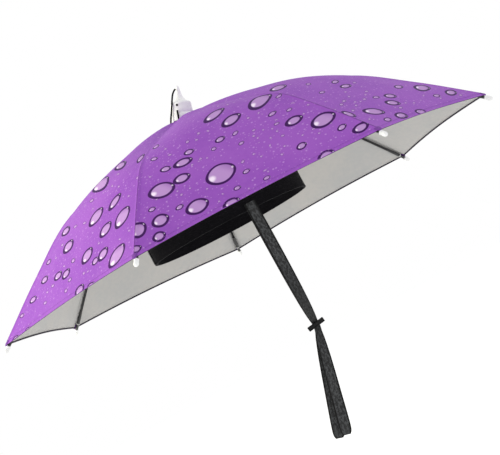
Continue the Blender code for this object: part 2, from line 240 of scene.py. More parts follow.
def make_weave_group():
    tree, given, out = new_group(
        "weave",
        (("Cloth", "Vector", None), ("Across", "Float", 3000.0), ("Along", "Float", 3000.0)),
        (("Height", "Float"), ("Shade", "Float")),
    )
    parts = add_node(tree, "SeparateXYZ", {"Vector": given["Cloth"]}).outputs
    wide = maths(tree, "MULTIPLY", parts["X"], given["Across"])
    long = maths(tree, "MULTIPLY", parts["Y"], given["Along"])
    over = maths(tree, "MULTIPLY", maths(tree, "SINE", wide), maths(tree, "SINE", long))
    height = maths(tree, "MULTIPLY_ADD", over, 0.5, 0.5)
    blotches = {"Vector": given["Cloth"], "Scale": BLOTCHES_PER_METRE, "Detail": 3.0}
    uneven = add_node(tree, "TexNoise", blotches).outputs["Fac"]
    shade = maths(tree, "MULTIPLY_ADD", height, 0.5, maths(tree, "MULTIPLY", uneven, 0.5))
    tree.links.new(height, out["Height"])
    tree.links.new(shade, out["Shade"])
    return tree


weave_group = make_weave_group()
print("group:", weave_group.name)

# %% [markdown]
# Nothing real is one even colour. A second shared group gives slow and fast unevenness from two
# noises, and every finish uses it with its own size: handling marks on plastic, dull patches on the
# painted steel, and fading on the cloth.

# %% Unevenness group
FINE_RATIO = 14.0
TONE_FROM, TONE_TO = 0.3, 0.7


def make_uneven_group():
    tree, given, out = new_group(
        "unevenness",
        (("Size", "Float", 0.05), ("Fine", "Float", 0.3)),
        (("Tone", "Float"), ("Grain", "Float")),
    )
    place = add_node(tree, "TexCoord").outputs["Object"]
    slow_scale = maths(tree, "DIVIDE", 1.0, given["Size"])
    slow = add_node(tree, "TexNoise", {"Vector": place, "Scale": slow_scale, "Detail": 2.0}).outputs["Fac"]
    fast_scale = maths(tree, "MULTIPLY", slow_scale, FINE_RATIO)
    fast = add_node(tree, "TexNoise", {"Vector": place, "Scale": fast_scale, "Detail": 3.0}).outputs["Fac"]
    keep = maths(tree, "SUBTRACT", 1.0, given["Fine"])
    tone = maths(tree, "MULTIPLY_ADD", slow, keep, maths(tree, "MULTIPLY", fast, given["Fine"]))
    tree.links.new(ramp(tree, tone, TONE_FROM, TONE_TO), out["Tone"])
    tree.links.new(fast, out["Grain"])
    return tree


uneven_group = make_uneven_group()
print("group:", uneven_group.name)

# %% [markdown]
# The print is a common one: water drops, each with a dark rim, a pale lavender body and a white
# glint at its lower left. A picture texture would be one way. Here each drop is drawn by a formula
# instead, so it stays sharp at any distance. The group gets a place inside one drop, counted so that
# the rim is at 1, and gives four masks that the cloth's colour is mixed with.

# %% Water drop group
# Widths in millimetres on the cloth, and the most that each may take of a small drop's half width
DROP_RIM, RIM_AT_MOST = 3.3, 0.42
RIM_BLUR, BLUR_AT_MOST = 0.5, 0.2
POINTED_ENDS = 0.35

# Rims of small drops are fainter: (half width in mm from, to, strength from, to)
RIM_STRENGTH = (1.2, 3.4, 0.25, 1.0)

# Glints: (place along, place across, half length, half width), and how they fade outwards
MAIN_GLINT = (-0.60, -0.08, 0.30, 0.36)
SMALL_GLINT = (0.80, 0.10, 0.08, 0.12)
MAIN_FADE = (1.1, 0.3)
SMALL_FADE = (1.2, 0.4, 0.0, 0.6)

# Shares of the places along and across in what leans to one side
WIDER_SIDE = (-0.02, -0.03)
PALER_SIDE = (-0.8, -0.45)
PALER_RANGE = (-0.85, -0.15)


def make_drop_group():
    tree, given, out = new_group(
        "water drop",
        (("Place", "Vector", None),),
        (("Rim", "Float"), ("Body", "Float"), ("Glint", "Float"), ("Tone", "Float")),
    )
    parts = add_node(tree, "SeparateXYZ", {"Vector": given["Place"]}).outputs

    def leaning(share_along, share_across):
        across = maths(tree, "MULTIPLY", parts["Y"], share_across)
        return maths(tree, "MULTIPLY_ADD", parts["X"], share_along, across)

    def spread(centre_x, centre_y, wide, tall):
        """Distance from a point in the drop, where wide and tall count as 1."""
        x = maths(tree, "DIVIDE", maths(tree, "SUBTRACT", parts["X"], centre_x), wide)
        y = maths(tree, "DIVIDE", maths(tree, "SUBTRACT", parts["Y"], centre_y), tall)
        return maths(tree, "SQRT", maths(tree, "MULTIPLY_ADD", x, x, maths(tree, "MULTIPLY", y, y)))

    soft = maths(tree, "MINIMUM", maths(tree, "DIVIDE", RIM_BLUR, parts["Z"]), BLUR_AT_MOST)
    width = maths(tree, "MINIMUM", maths(tree, "DIVIDE", DROP_RIM, parts["Z"]), RIM_AT_MOST)
    along_sq = maths(tree, "MULTIPLY", parts["X"], parts["X"])
    across_sq = maths(tree, "MULTIPLY", parts["Y"], parts["Y"])
    pointed = maths(tree, "MULTIPLY_ADD", along_sq, POINTED_ENDS, 1.0)
    reach = maths(tree, "SQRT", maths(tree, "MULTIPLY_ADD", across_sq, pointed, along_sq))
    inside = ramp(tree, reach, 1.0, maths(tree, "SUBTRACT", 1.0, soft))
    inner = maths(tree, "SUBTRACT", 1.0, width)
    shifted = maths(tree, "ADD", reach, leaning(*WIDER_SIDE))
    body = ramp(tree, shifted, maths(tree, "ADD", inner, soft), maths(tree, "SUBTRACT", inner, soft))
    body = maths(tree, "MULTIPLY", body, inside)
    main = maths(tree, "MULTIPLY", ramp(tree, spread(*MAIN_GLINT), *MAIN_FADE), body)
    small = maths(tree, "MULTIPLY", ramp(tree, spread(*SMALL_GLINT), *SMALL_FADE), inside)
    strength = ramp(tree, parts["Z"], *RIM_STRENGTH)
    rim = maths(tree, "MULTIPLY", maths(tree, "SUBTRACT", inside, body), strength)
    tree.links.new(rim, out["Rim"])
    tree.links.new(body, out["Body"])
    tree.links.new(maths(tree, "MAXIMUM", main, small), out["Glint"])
    tree.links.new(ramp(tree, leaning(*PALER_SIDE), *PALER_RANGE), out["Tone"])
    return tree


drop_group = make_drop_group()
print("group:", drop_group.name)

# %% [markdown]
# The gores share one formula. A rib's height follows a smooth curve from the top of the dome to its
# tip, and the cloth between two ribs bulges a little and draws in at the hem, because it is pulled
# tight from rib to rib. These are the driving sizes of the frame, so the cloth sits on its ribs.

# %% Dome sizes
RIB_COUNT = 7
FIRST_RIB_DEG = 43.5
RIM_RADIUS = 0.300
HEM_SCALLOP = 0.0095
TOP_SKEW = -0.0075
TOP_HOLE = 0.0055
CLOTH_LIFT = 0.0009
CLOTH_WALL = 0.0006

# Parts of the rim radius: (reach from the top, height of a rib, rise of the cloth between ribs)
DOME_CURVE = (
    (0.00, 0.4695, 0.000),
    (0.15, 0.4340, 0.023),
    (0.35, 0.3850, 0.030),
    (0.60, 0.3020, 0.031),
    (0.80, 0.1610, 0.026),
    (1.00, 0.0000, 0.000),
)


def smooth_row(rows, x):
    """Values at x on a smooth curve through the rows, whose first column is x."""
    last = len(rows) - 2
    index = min(last, max(0, sum(row[0] <= x for row in rows) - 1))

    def slope(i, column):
        low, high = max(i - 1, 0), min(i + 1, len(rows) - 1)
        return (rows[high][column] - rows[low][column]) / (rows[high][0] - rows[low][0])

    a, b = rows[index], rows[index + 1]
    width = b[0] - a[0]
    t = (x - a[0]) / width
    values = []
    for column in range(1, len(a)):
        m0, m1 = slope(index, column) * width, slope(index + 1, column) * width
        rise = (2 * t**3 - 3 * t**2 + 1) * a[column] + (t**3 - 2 * t**2 + t) * m0
        values.append(rise + (3 * t**2 - 2 * t**3) * b[column] + (t**3 - t**2) * m1)
    return values


def rib_angle(index):
    return math.radians(FIRST_RIB_DEG + 360.0 / RIB_COUNT * index)


def rib_out(index):
    """The level direction in which a rib points."""
    return Vector((math.cos(rib_angle(index)), math.sin(rib_angle(index)), 0.0))


def rib_side(index):
    """The level direction square to a rib."""
    return Vector((-math.sin(rib_angle(index)), math.cos(rib_angle(index)), 0.0))


def rib_point(index, reach):
    """A point of the dome's inner side on a rib's line, from the top at 0 to the rim at 1."""
    angle = rib_angle(index)
    x = RIM_CENTRE.x + RIM_RADIUS * reach * math.cos(angle) + TOP_SKEW * (1 - reach) ** 2
    y = RIM_RADIUS * reach * math.sin(angle)
    return Vector((x, y, RIM_CENTRE.z + RIM_RADIUS * smooth_row(DOME_CURVE, reach)[0]))


def dome_point(gore, t, reach):
    """A point of the dome's inner side; t goes from 0 to 1 across the gore."""
    middle = 4 * t * (1 - t)
    drawn = reach * (1 - HEM_SCALLOP * middle * reach**3)
    point = rib_point(gore, drawn).lerp(rib_point(gore + 1, drawn), t)
    point.z += RIM_RADIUS * middle * smooth_row(DOME_CURVE, drawn)[1]
    return point


TOP = rib_point(0, 0.0)
print("top of the dome:", [round(v, 4) for v in TOP])

# %% [markdown]
# The cloth is one closed sheet, made on a grid that is finer beside the ribs, where the seams are.
# Sewing draws the cloth up a little: beside each seam runs a low ridge with small puckers, and the
# gores have faint long waves where they are pulled unevenly. These are moves of the grid itself.

# %% Grid of the cloth
GORE_COLUMNS = 70
GORE_ROWS = 76
EDGE_CROWDING = 0.62
RIDGE_HEIGHT = 0.0009
RIDGE_REACH = 0.0021
PUCKER_HEIGHT = 0.00042
PUCKER_LENGTH = 0.0105
PUCKER_REACH = 0.013
PUCKER_SLANT = 90.0
WAVE_HEIGHT = 0.0011

# Where the noises are read: (steps a metre along, shift of a seam's side, shift of a gore) for the
# puckers, then (steps across a gore, steps a metre along, shift of a gore) for the waves
PUCKER_NOISE = (24.0, 3.1, 7.7)
WAVE_NOISE = (3.2, 11.0, 5.3)

# Puckers: (least strength, share of the noise), (shift of a side, share of the noise, its scale)
PUCKER_STRENGTH = (0.35, 1.3)
PUCKER_PHASE = (1.7, 3.0, 0.6)

# Parts of the reach in which the cloth is calm: at the top, at the hem, and what is left at the hem
CALM_TOP, CALM_HEM, HEM_REST = 0.25, 0.04, 0.15


def column_place(column):
    share = column / GORE_COLUMNS
    return share - EDGE_CROWDING * math.sin(2 * math.pi * share) / (2 * math.pi)


def row_place(row):
    first = TOP_HOLE / RIM_RADIUS
    return first + (1 - first) * row / GORE_ROWS


def gore_width(reach):
    return 2 * RIM_RADIUS * reach * math.sin(math.pi / RIB_COUNT)


def seam_gap(t, reach):
    """Distance along the cloth to the nearer seam."""
    return min(t, 1 - t) * gore_width(reach)


def cloth_move(gore, t, reach):
    """How far the cloth stands off its formula: ridge and puckers by the seams, waves between."""
    gap = seam_gap(t, reach)
    side = 1.0 if t < 0.5 else -1.0
    along = reach * RIM_RADIUS
    calm = min(1.0, reach / CALM_TOP) * min(1.0, (1 - reach) / CALM_HEM + HEM_REST)
    ridge = RIDGE_HEIGHT * math.exp(-((gap / RIDGE_REACH) ** 2))
    seed = Vector((along * PUCKER_NOISE[0], side * PUCKER_NOISE[1] + gore * PUCKER_NOISE[2], 0.5))
    strong = max(0.0, PUCKER_STRENGTH[0] + PUCKER_STRENGTH[1] * noise.noise(seed))
    shift, wander, scale = PUCKER_PHASE
    phase = 2 * math.pi * along / PUCKER_LENGTH + side * shift + wander * noise.noise(seed * scale)
    pucker = PUCKER_HEIGHT * strong * math.sin(phase + gap * PUCKER_SLANT) * math.exp(-gap / PUCKER_REACH)
    middle = 4 * t * (1 - t)
    place = Vector((t * WAVE_NOISE[0], along * WAVE_NOISE[1], gore * WAVE_NOISE[2]))
    wave = WAVE_HEIGHT * middle * noise.noise(place)
    return ridge + calm * (pucker * (gap > 0) + wave)


print("grid:", RIB_COUNT * GORE_COLUMNS, "columns,", GORE_ROWS + 1, "rows")

# %% Cloth points and the flat pattern of a gore


def cloth_points():
    """Points of the outer side, with each point's distance from its seam."""
    rows, gaps = [], []
    for row in range(GORE_ROWS + 1):
        reach = row_place(row)
        line, gap_line = [], []
        for gore in range(RIB_COUNT):
            for column in range(GORE_COLUMNS):
                t = column_place(column)
                line.append(dome_point(gore, t, reach))
                gap_line.append(seam_gap(t, reach))
        rows.append(line)
        gaps.append(gap_line)
    return np.array(rows), np.array(gaps)


def grid_normals(points):
    """Unit normals of a grid whose columns close into a ring."""
    along = np.gradient(points, axis=0)
    around = np.roll(points, -1, axis=1) - np.roll(points, 1, axis=1)
    normals = np.cross(along, around)
    return normals / np.linalg.norm(normals, axis=-1, keepdims=True)


base_points, base_gaps = cloth_points()
base_normals = grid_normals(base_points)
moves = np.array([
    [cloth_move(gore, column_place(column), row_place(row))
     for gore in range(RIB_COUNT) for column in range(GORE_COLUMNS)]
    for row in range(GORE_ROWS + 1)
])
outer_points = base_points + base_normals * (CLOTH_LIFT + moves)[..., None]
inner_points = outer_points - base_normals * CLOTH_WALL
down_the_gore = np.concatenate([[0.0], np.cumsum(np.linalg.norm(
    np.diff(base_points[:, GORE_COLUMNS // 2], axis=0), axis=-1))])
print("length of a gore:", round(float(down_the_gore[-1]), 4), "m")

# %% [markdown]
# The drops of the three gores that face the camera are charted: one row for each drop, with
# its middle in the picture, half its length, half its width and its lean. The other gores are cut
# from the same cloth, so each borrows the chart of one of these three, mirrored on two of them.

# %% Chart of the drops
# (pixels across, pixels down, half length, half width, lean in degrees)
LEFT_DROPS = (
    (122.4, 217.2, 13.6, 5.1, 59), (114.9, 201.8, 11.3, 3.2, 56), (105.6, 229.4, 10.2, 3.9, 57),
    (116.8, 255.6, 15.0, 5.4, 59), (96.3, 217.0, 12.3, 4.1, 56), (120.3, 165.7, 7.6, 3.2, 36),
    (100.5, 184.2, 11.5, 4.8, 42), (66.2, 231.2, 6.8, 3.3, 50), (68.8, 246.6, 8.8, 3.7, 57),
    (87.3, 255.6, 10.3, 4.0, 61), (103.0, 253.9, 8.9, 3.8, 59), (95.3, 260.8, 5.4, 2.6, 58),
    (58.3, 275.7, 6.4, 2.9, 54), (66.2, 273.8, 6.9, 3.0, 58), (44.8, 279.7, 5.4, 2.8, 54),
    (49.0, 261.8, 4.0, 2.2, 50), (73.5, 260.5, 3.0, 1.9, 55), (70.0, 279.5, 3.0, 1.6, 55),
    (33.2, 299.5, 5.2, 2.5, 50), (45.3, 302.6, 2.5, 1.6, 50), (79.8, 290.0, 7.7, 3.6, 57),
    (91.2, 286.0, 6.0, 3.2, 48), (22.2, 315.5, 3.2, 1.8, 48), (27.8, 330.0, 4.8, 2.2, 52),
    (16.0, 338.6, 5.2, 2.5, 48), (140.5, 158.5, 8.5, 2.4, 57), (92.0, 200.5, 3.0, 1.6, 35),
    (85.0, 223.0, 2.4, 1.5, 30), (76.0, 226.5, 3.5, 1.6, 25), (63.0, 245.0, 2.2, 1.5, 45),
    (56.5, 258.0, 2.2, 1.3, 15), (53.0, 285.5, 2.4, 1.6, 50), (66.0, 290.5, 2.6, 1.7, 60),
    (119.0, 186.5, 1.8, 1.3, 45), (112.5, 186.0, 1.6, 1.2, 60), (118.5, 174.0, 2.6, 1.2, 10),
    (129.0, 196.0, 1.6, 1.3, 30), (137.5, 178.0, 2.0, 1.4, 60), (129.5, 230.5, 1.8, 1.3, 30),
    (120.0, 239.0, 1.7, 1.2, 20), (84.0, 273.0, 2.0, 1.5, 60), (64.5, 266.0, 1.6, 1.4, 40),
    (47.5, 292.0, 1.6, 1.4, 50), (38.0, 298.0, 1.5, 1.1, 40), (99.0, 243.0, 1.6, 1.2, 50),
)
MIDDLE_DROPS = (
    (220.5, 173.8, 17.0, 10.3, 28), (161.3, 190.6, 15.0, 7.7, 22), (197.1, 206.8, 13.3, 7.6, 27),
    (181.6, 178.8, 10.0, 4.8, 26), (182.6, 162.9, 11.3, 4.3, 24), (165.4, 169.3, 6.4, 3.0, 19),
    (160.3, 220.9, 10.0, 6.7, 27), (159.0, 236.9, 7.7, 5.3, 27), (138.2, 230.6, 10.3, 7.4, 45),
    (135.8, 249.8, 7.0, 3.7, 33), (213.7, 115.1, 13.1, 3.9, 35), (230.8, 120.0, 11.9, 5.1, 33),
    (219.6, 139.4, 6.0, 2.9, 28), (188.8, 152.4, 6.0, 2.8, 24), (155.8, 146.8, 5.2, 2.6, 10),
    (154.0, 159.0, 4.2, 2.0, 20), (151.9, 209.7, 4.5, 2.5, 27), (179.5, 207.6, 5.0, 2.6, 32),
    (246.0, 171.3, 4.6, 2.4, 30), (237.0, 188.0, 4.4, 2.4, 25), (231.2, 203.2, 10.0, 5.0, 27),
    (259.5, 100.9, 13.9, 5.6, 28), (293.6, 121.0, 10.5, 4.7, 27), (322.9, 120.0, 14.2, 7.3, 27),
    (341.6, 127.6, 5.7, 3.2, 33), (360.4, 128.0, 9.8, 4.9, 26), (301.4, 146.4, 6.2, 3.6, 30),
    (326.0, 155.8, 10.0, 5.2, 27), (272.0, 114.0, 5.3, 2.2, 30), (289.0, 110.0, 3.6, 1.8, 28),
    (235.0, 133.0, 4.0, 2.0, 38), (241.0, 143.0, 3.6, 1.9, 30), (213.5, 148.8, 3.2, 2.0, 25),
    (278.5, 96.5, 4.0, 1.5, 25), (276.5, 124.0, 3.5, 1.6, 25), (266.5, 178.0, 4.5, 2.2, 27),
    (257.0, 91.0, 6.0, 1.6, 8), (241.0, 98.2, 4.0, 1.4, 25), (282.5, 136.0, 2.4, 1.4, 15),
    (281.8, 154.8, 2.0, 1.7, 10), (253.5, 130.2, 2.4, 1.4, 25), (253.5, 136.0, 2.0, 1.4, 15),
    (242.5, 161.5, 2.6, 1.8, 45), (200.5, 159.0, 2.4, 1.2, 20), (187.5, 142.0, 2.4, 1.7, 30),
    (196.5, 140.0, 2.2, 1.3, 10), (169.8, 155.0, 2.4, 1.3, 15), (150.0, 177.0, 1.9, 1.2, 5),
    (165.5, 149.0, 1.8, 1.3, 15), (192.0, 165.0, 1.7, 1.4, 30), (181.5, 195.0, 2.0, 1.6, 40),
    (190.0, 188.5, 1.5, 1.3, 20), (177.5, 191.5, 1.6, 1.2, 30), (208.0, 131.0, 1.6, 1.5, 0),
    (198.5, 133.5, 2.0, 1.5, 30), (248.0, 118.0, 2.0, 1.5, 15), (257.5, 138.0, 1.7, 1.5, 40),
    (227.5, 105.0, 2.0, 1.3, 20), (218.0, 106.5, 2.0, 1.2, 40), (277.0, 131.5, 1.8, 1.4, 10),
    (272.0, 129.0, 1.6, 1.3, 10), (270.5, 138.0, 1.6, 1.4, 20), (269.8, 145.5, 1.8, 1.5, 60),
    (263.0, 130.0, 1.6, 1.2, 15), (284.5, 146.5, 1.8, 1.5, 30), (302.5, 135.5, 1.8, 1.3, 35),
    (319.0, 133.5, 1.7, 1.3, 15), (303.5, 114.0, 1.7, 1.3, 15), (258.5, 113.0, 1.7, 1.4, 40),
    (308.0, 105.0, 2.0, 1.3, 10), (222.5, 194.0, 1.5, 1.4, 0), (219.0, 201.5, 1.7, 1.5, 40),
    (207.0, 189.0, 1.6, 1.3, 20), (248.5, 188.5, 1.5, 1.3, 30), (268.0, 171.5, 1.6, 1.4, 20),
    (261.0, 156.5, 1.7, 1.5, 20), (253.5, 154.0, 1.8, 1.6, 30), (207.0, 158.0, 1.5, 1.3, 20),
)
RIGHT_DROPS = (
    (450.2, 92.8, 6.5, 3.3, -6), (421.3, 88.0, 9.0, 3.3, -6), (398.0, 87.0, 5.0, 1.8, -3),
    (389.5, 96.0, 7.0, 2.2, -5), (391.8, 103.0, 8.5, 2.7, -6), (373.0, 112.0, 12.0, 3.2, -5),
    (400.5, 116.0, 7.3, 3.2, -8), (387.0, 120.0, 4.5, 2.1, -5), (420.0, 112.0, 6.5, 2.7, -8),
    (436.0, 96.0, 4.0, 1.6, -5), (345.0, 86.2, 6.2, 2.1, 4), (334.6, 82.0, 4.3, 2.1, 10),
    (354.0, 83.0, 2.2, 1.5, 10), (348.0, 114.5, 8.5, 2.3, -17), (277.8, 88.0, 9.3, 2.6, 17),
    (321.5, 92.5, 3.5, 1.5, 10), (308.0, 84.0, 3.0, 1.3, 4), (375.5, 97.5, 4.0, 1.4, 0),
    (345.0, 92.0, 1.8, 1.3, 10), (343.5, 101.5, 2.4, 1.5, 5), (341.0, 105.0, 2.4, 1.5, 5),
    (355.5, 106.0, 1.8, 1.4, 0), (352.5, 111.0, 2.2, 1.4, 5), (354.5, 102.5, 1.6, 1.2, 0),
    (366.0, 91.5, 2.2, 1.3, 5), (365.0, 95.0, 1.8, 1.3, 0), (364.0, 99.5, 2.2, 1.4, 0),
    (369.0, 119.5, 1.8, 1.4, 0), (360.0, 102.0, 1.5, 1.2, 0), (348.5, 97.0, 1.7, 1.3, 0),
    (400.0, 108.0, 2.4, 1.5, 0), (413.5, 103.0, 1.8, 1.2, 0), (405.0, 103.0, 1.6, 1.2, 0),
    (423.0, 95.5, 1.6, 1.3, 0), (440.0, 98.5, 1.8, 1.3, 0), (460.0, 95.5, 2.2, 1.3, -5),
)

# For each gore: (gore whose chart it uses, its chart, mirrored)
GORE_CHARTS = (
    (4, MIDDLE_DROPS, True), (3, LEFT_DROPS, True), (4, MIDDLE_DROPS, False), (3, LEFT_DROPS, False),
    (4, MIDDLE_DROPS, False), (5, RIGHT_DROPS, False), (3, LEFT_DROPS, False),
)
print("charted drops:", len(LEFT_DROPS) + len(MIDDLE_DROPS) + len(RIGHT_DROPS))

# %% From the chart to the flat cloth
DROP_LAYERS = 2
PIXEL_MIDDLE = 0.5
LONGEST_SHAPE = 2.6
FAR_AWAY = 1e6


def flat_gore_grid():
    """Metres across and down the flat gore at each grid point."""
    across = np.array([column_place(column) - 0.5 for column in range(GORE_COLUMNS + 1)])
    widths = np.array([gore_width(row_place(row)) for row in range(GORE_ROWS + 1)])
    down = np.repeat(down_the_gore[:, None], GORE_COLUMNS + 1, axis=1)
    return np.stack([across[None, :] * widths[:, None], down], axis=-1)


def seen_gore_grid(gore):
    """Pixels across and down at each grid point of a gore."""
    columns = [column_place(column) for column in range(GORE_COLUMNS + 1)]
    return picture_places(np.array([[dome_point(gore, t, row_place(row)) for t in columns]
                                    for row in range(GORE_ROWS + 1)]))


def faces_camera(seen):
    """Which inner grid points lie on the seen side of the dome, where the grid isn't turned over."""
    across_step = seen[1:-1, 2:] - seen[1:-1, :-2]
    down_step = seen[2:, 1:-1] - seen[:-2, 1:-1]
    return across_step[..., 0] * down_step[..., 1] - across_step[..., 1] * down_step[..., 0] > 0


def drop_on_cloth(chart_row, seen, flat):
    """A charted drop on the flat gore: its middle, the step from metres to drop places, its half width.

    The picture squeezes what lies slanted, so a drop near the top would come out as a streak on the
    cloth. No real drop is more than about twice as long as wide, so its shape is held to that.
    """
    across, down = (place + PIXEL_MIDDLE for place in chart_row[:2])
    half_length, half_width, lean_deg = chart_row[2:]
    gap = np.hypot(seen[1:-1, 1:-1, 0] - across, seen[1:-1, 1:-1, 1] - down)
    gap = np.where(faces_camera(seen), gap, FAR_AWAY)
    row, column = (int(place) + 1 for place in np.unravel_index(gap.argmin(), gap.shape))
    seen_steps = np.column_stack([seen[row, column + 1] - seen[row, column - 1],
                                  seen[row + 1, column] - seen[row - 1, column]])
    flat_steps = np.column_stack([flat[row, column + 1] - flat[row, column - 1],
                                  flat[row + 1, column] - flat[row - 1, column]])
    to_cloth = flat_steps @ np.linalg.inv(seen_steps)
    middle = flat[row, column] + to_cloth @ (np.array([across, down]) - seen[row, column])
    lean = math.radians(lean_deg)
    half_axes = np.array([[math.cos(lean) * half_length, -math.sin(lean) * half_width],
                          [-math.sin(lean) * half_length, -math.cos(lean) * half_width]])
    turned_out, halves, turned_in = np.linalg.svd(to_cloth @ half_axes)
    halves[0] = min(halves[0], LONGEST_SHAPE * halves[1])
    return middle, turned_in.T @ np.diag(1 / halves) @ turned_out.T, halves[1]


flat_grid = flat_gore_grid()
seen_grids = {gore: seen_gore_grid(gore) for gore in (3, 4, 5)}
flat_corners = np.stack([flat_grid[:-1, :-1], flat_grid[1:, :-1], flat_grid[1:, 1:], flat_grid[:-1, 1:]],
                        axis=2).reshape(-1, 4, 2)
print("faces of a gore:", len(flat_corners))
print("seen points:", [int(faces_camera(grid).sum()) for grid in seen_grids.values()])

# %% Places in the nearest drops


def places_in_drops(source, chart, mirrored):
    """For each face's corners, their places (along, across, half width in mm) in its nearest drops.

    A drop's rim is at a distance of 1 from its middle.
    """
    drops = [drop_on_cloth(chart_row, seen_grids[source], flat_grid) for chart_row in chart]
    middles = np.array([drop[0] for drop in drops])
    steps = np.array([drop[1] for drop in drops])
    widths = np.array([drop[2] for drop in drops])
    corners = flat_corners * ((-1.0, 1.0) if mirrored else (1.0, 1.0))
    places = np.einsum("dij,fcdj->fcdi", steps, corners[:, :, None, :] - middles)
    if mirrored:
        places[..., 0] *= -1
    gap = (np.linalg.norm(places.mean(axis=1), axis=-1) - 1) * widths
    nearest = np.argsort(gap, axis=1)[:, :DROP_LAYERS]
    faces = np.arange(len(corners))
    layers = []
    for layer in range(DROP_LAYERS):
        chosen = nearest[:, layer]
        width = np.repeat(widths[chosen][:, None] * 1000.0, 4, axis=1)
        layers.append(np.concatenate([places[faces, :, chosen], width[..., None]], axis=-1))
    return layers


def drop_places():
    """Both layers of drop places for all outer faces, row by row."""
    layers = [np.zeros((GORE_ROWS, RIB_COUNT * GORE_COLUMNS, 4, 3)) for _ in range(DROP_LAYERS)]
    for gore, (source, chart, mirrored) in enumerate(GORE_CHARTS):
        span = slice(gore * GORE_COLUMNS, (gore + 1) * GORE_COLUMNS)
        for layer, values in zip(layers, places_in_drops(source, chart, mirrored)):
            layer[:, span] = values.reshape(GORE_ROWS, GORE_COLUMNS, 4, 3)
    return layers


drop_layers = drop_places()
drop_distances = np.linalg.norm(drop_layers[0].mean(axis=2)[..., :2], axis=-1)
print("faces with a drop on them:", int((drop_distances < 1).sum()))

# %% [markdown]
# The printed face and the grey coated face are two sides of one closed sheet, joined at the hem and
# round the hole at the top. Each face corner carries its place on the flat gore, in metres, and its
# places in the two nearest drops, so the print is sharp even though the faces are 4 mm wide.

# %% Sheet with two sides
MAP_STEP = 0.37
NO_DROP = (9.0, 9.0, 5.0)


def make_sheet_mesh():
    rows, ring = GORE_ROWS + 1, RIB_COUNT * GORE_COLUMNS
    inner_first = rows * ring
    row, column = np.meshgrid(np.arange(GORE_ROWS), np.arange(ring), indexing="ij")
    after = (column + 1) % ring
    outer = np.stack([row * ring + column, (row + 1) * ring + column,
                      (row + 1) * ring + after, row * ring + after], axis=-1).reshape(-1, 4)
    inner = outer[:, ::-1] + inner_first
    edge = np.arange(ring)
    following = (edge + 1) % ring
    hem_row = GORE_ROWS * ring
    hem = np.stack([hem_row + edge, hem_row + edge + inner_first,
                    hem_row + following + inner_first, hem_row + following], axis=-1)
    hole = np.stack([edge, following, following + inner_first, edge + inner_first], axis=-1)
    faces = np.concatenate([outer, inner, hem, hole])
    points = np.concatenate([outer_points.reshape(-1, 3), inner_points.reshape(-1, 3)])
    mesh = bpy.data.meshes.new("canopy_cloth")
    mesh.from_pydata(points.tolist(), [], faces.tolist())
    kinds = np.concatenate([np.zeros(len(outer)), np.ones(len(inner)), np.zeros(2 * ring)])
    mesh.polygons.foreach_set("material_index", kinds.astype(np.int32))
    return mesh, len(faces)


def flat_places():
    """The cloth's own map for the outer faces: the flat gores side by side."""
    gores = [flat_corners + np.array([gore * MAP_STEP, 0.0]) for gore in range(RIB_COUNT)]
    shape = (GORE_ROWS, GORE_COLUMNS, 4, 2)
    return np.concatenate([corners.reshape(shape) for corners in gores], axis=1).reshape(-1, 4, 2)


def add_corner_values(mesh, name, values, rest):
    """A vector for each corner of the first faces; the remaining corners get the value of rest."""
    full = np.tile(np.array(rest, dtype=float), (len(mesh.loops), 1))
    flat = values.reshape(-1, values.shape[-1])
    full[:len(flat), :flat.shape[-1]] = flat
    mesh.attributes.new(name, "FLOAT_VECTOR", "CORNER").data.foreach_set("vector", full.ravel())


sheet_mesh, face_count = make_sheet_mesh()
flat = flat_places()
cloth_map = sheet_mesh.uv_layers.new(name="cloth")
both_sides = np.concatenate([flat.reshape(-1, 2), flat[:, ::-1].reshape(-1, 2)])
all_corners = np.zeros((len(sheet_mesh.loops), 2))
all_corners[:len(both_sides)] = both_sides
cloth_map.data.foreach_set("uv", all_corners.ravel())
for number, layer in enumerate(drop_layers):
    add_corner_values(sheet_mesh, f"drop_{number + 1}", layer, NO_DROP)
gap_values = np.tile(base_gaps.ravel(), 2)
sheet_mesh.attributes.new("seam", "FLOAT", "POINT").data.foreach_set("value", gap_values)
print("faces in the sheet:", face_count)

# %% [markdown]
# The print's ground is a mid purple that drifts a little lighter and darker. Over it go small drops
# from a Voronoi pattern, then the two layers of charted drops, then a thin dark line at each seam.
# The cloth itself is a smooth coated polyester with a soft shine.

# %% Printed cloth
GROUND_DEEP = (0.258, 0.069, 0.438)
GROUND_LIGHT = (0.308, 0.093, 0.482)
RIM_COLOUR = (0.042, 0.004, 0.088)
BODY_DEEP = (0.330, 0.150, 0.450)
BODY_PALE = (0.450, 0.255, 0.560)
GLINT_COLOUR = (0.860, 0.740, 0.900)
SPECK_COLOUR = (0.560, 0.330, 0.680)

# Small printed drops: (drops a metre, radius in cells, length for one width)
SMALL_DROPS = (48.0, 0.085, 1.6)
SMALL_SIZES = (0.2, 1.0, 0.35, 1.0)
SMALL_SHOWN = (0.60, 0.65)

# Specks: (specks a metre, radius in cells, strength)
SPECKS = ((95.0, 0.13, 0.55), (190.0, 0.15, 0.40))
CLUSTERS_PER_METRE = 18.0
CLUSTER_EDGE = (0.95, 1.05)

# The seam's dark line: (distance where it ends, distance where it is full, strength, depth)
SEAM_LINE = (0.0009, 0.0002, 0.45, -3.0)
THREADS_PER_METRE = 9000.0


def lay_drop(tree, ground, masks, strength=1.0):
    """Paints a drop's rim, body and glint over a colour."""
    body = blend_colour(tree, masks["Tone"], BODY_DEEP, BODY_PALE)
    colour = blend_colour(tree, maths(tree, "MULTIPLY", masks["Rim"], strength), ground, RIM_COLOUR)
    colour = blend_colour(tree, maths(tree, "MULTIPLY", masks["Body"], strength), colour, body)
    return blend_colour(tree, maths(tree, "MULTIPLY", masks["Glint"], strength), colour, GLINT_COLOUR)


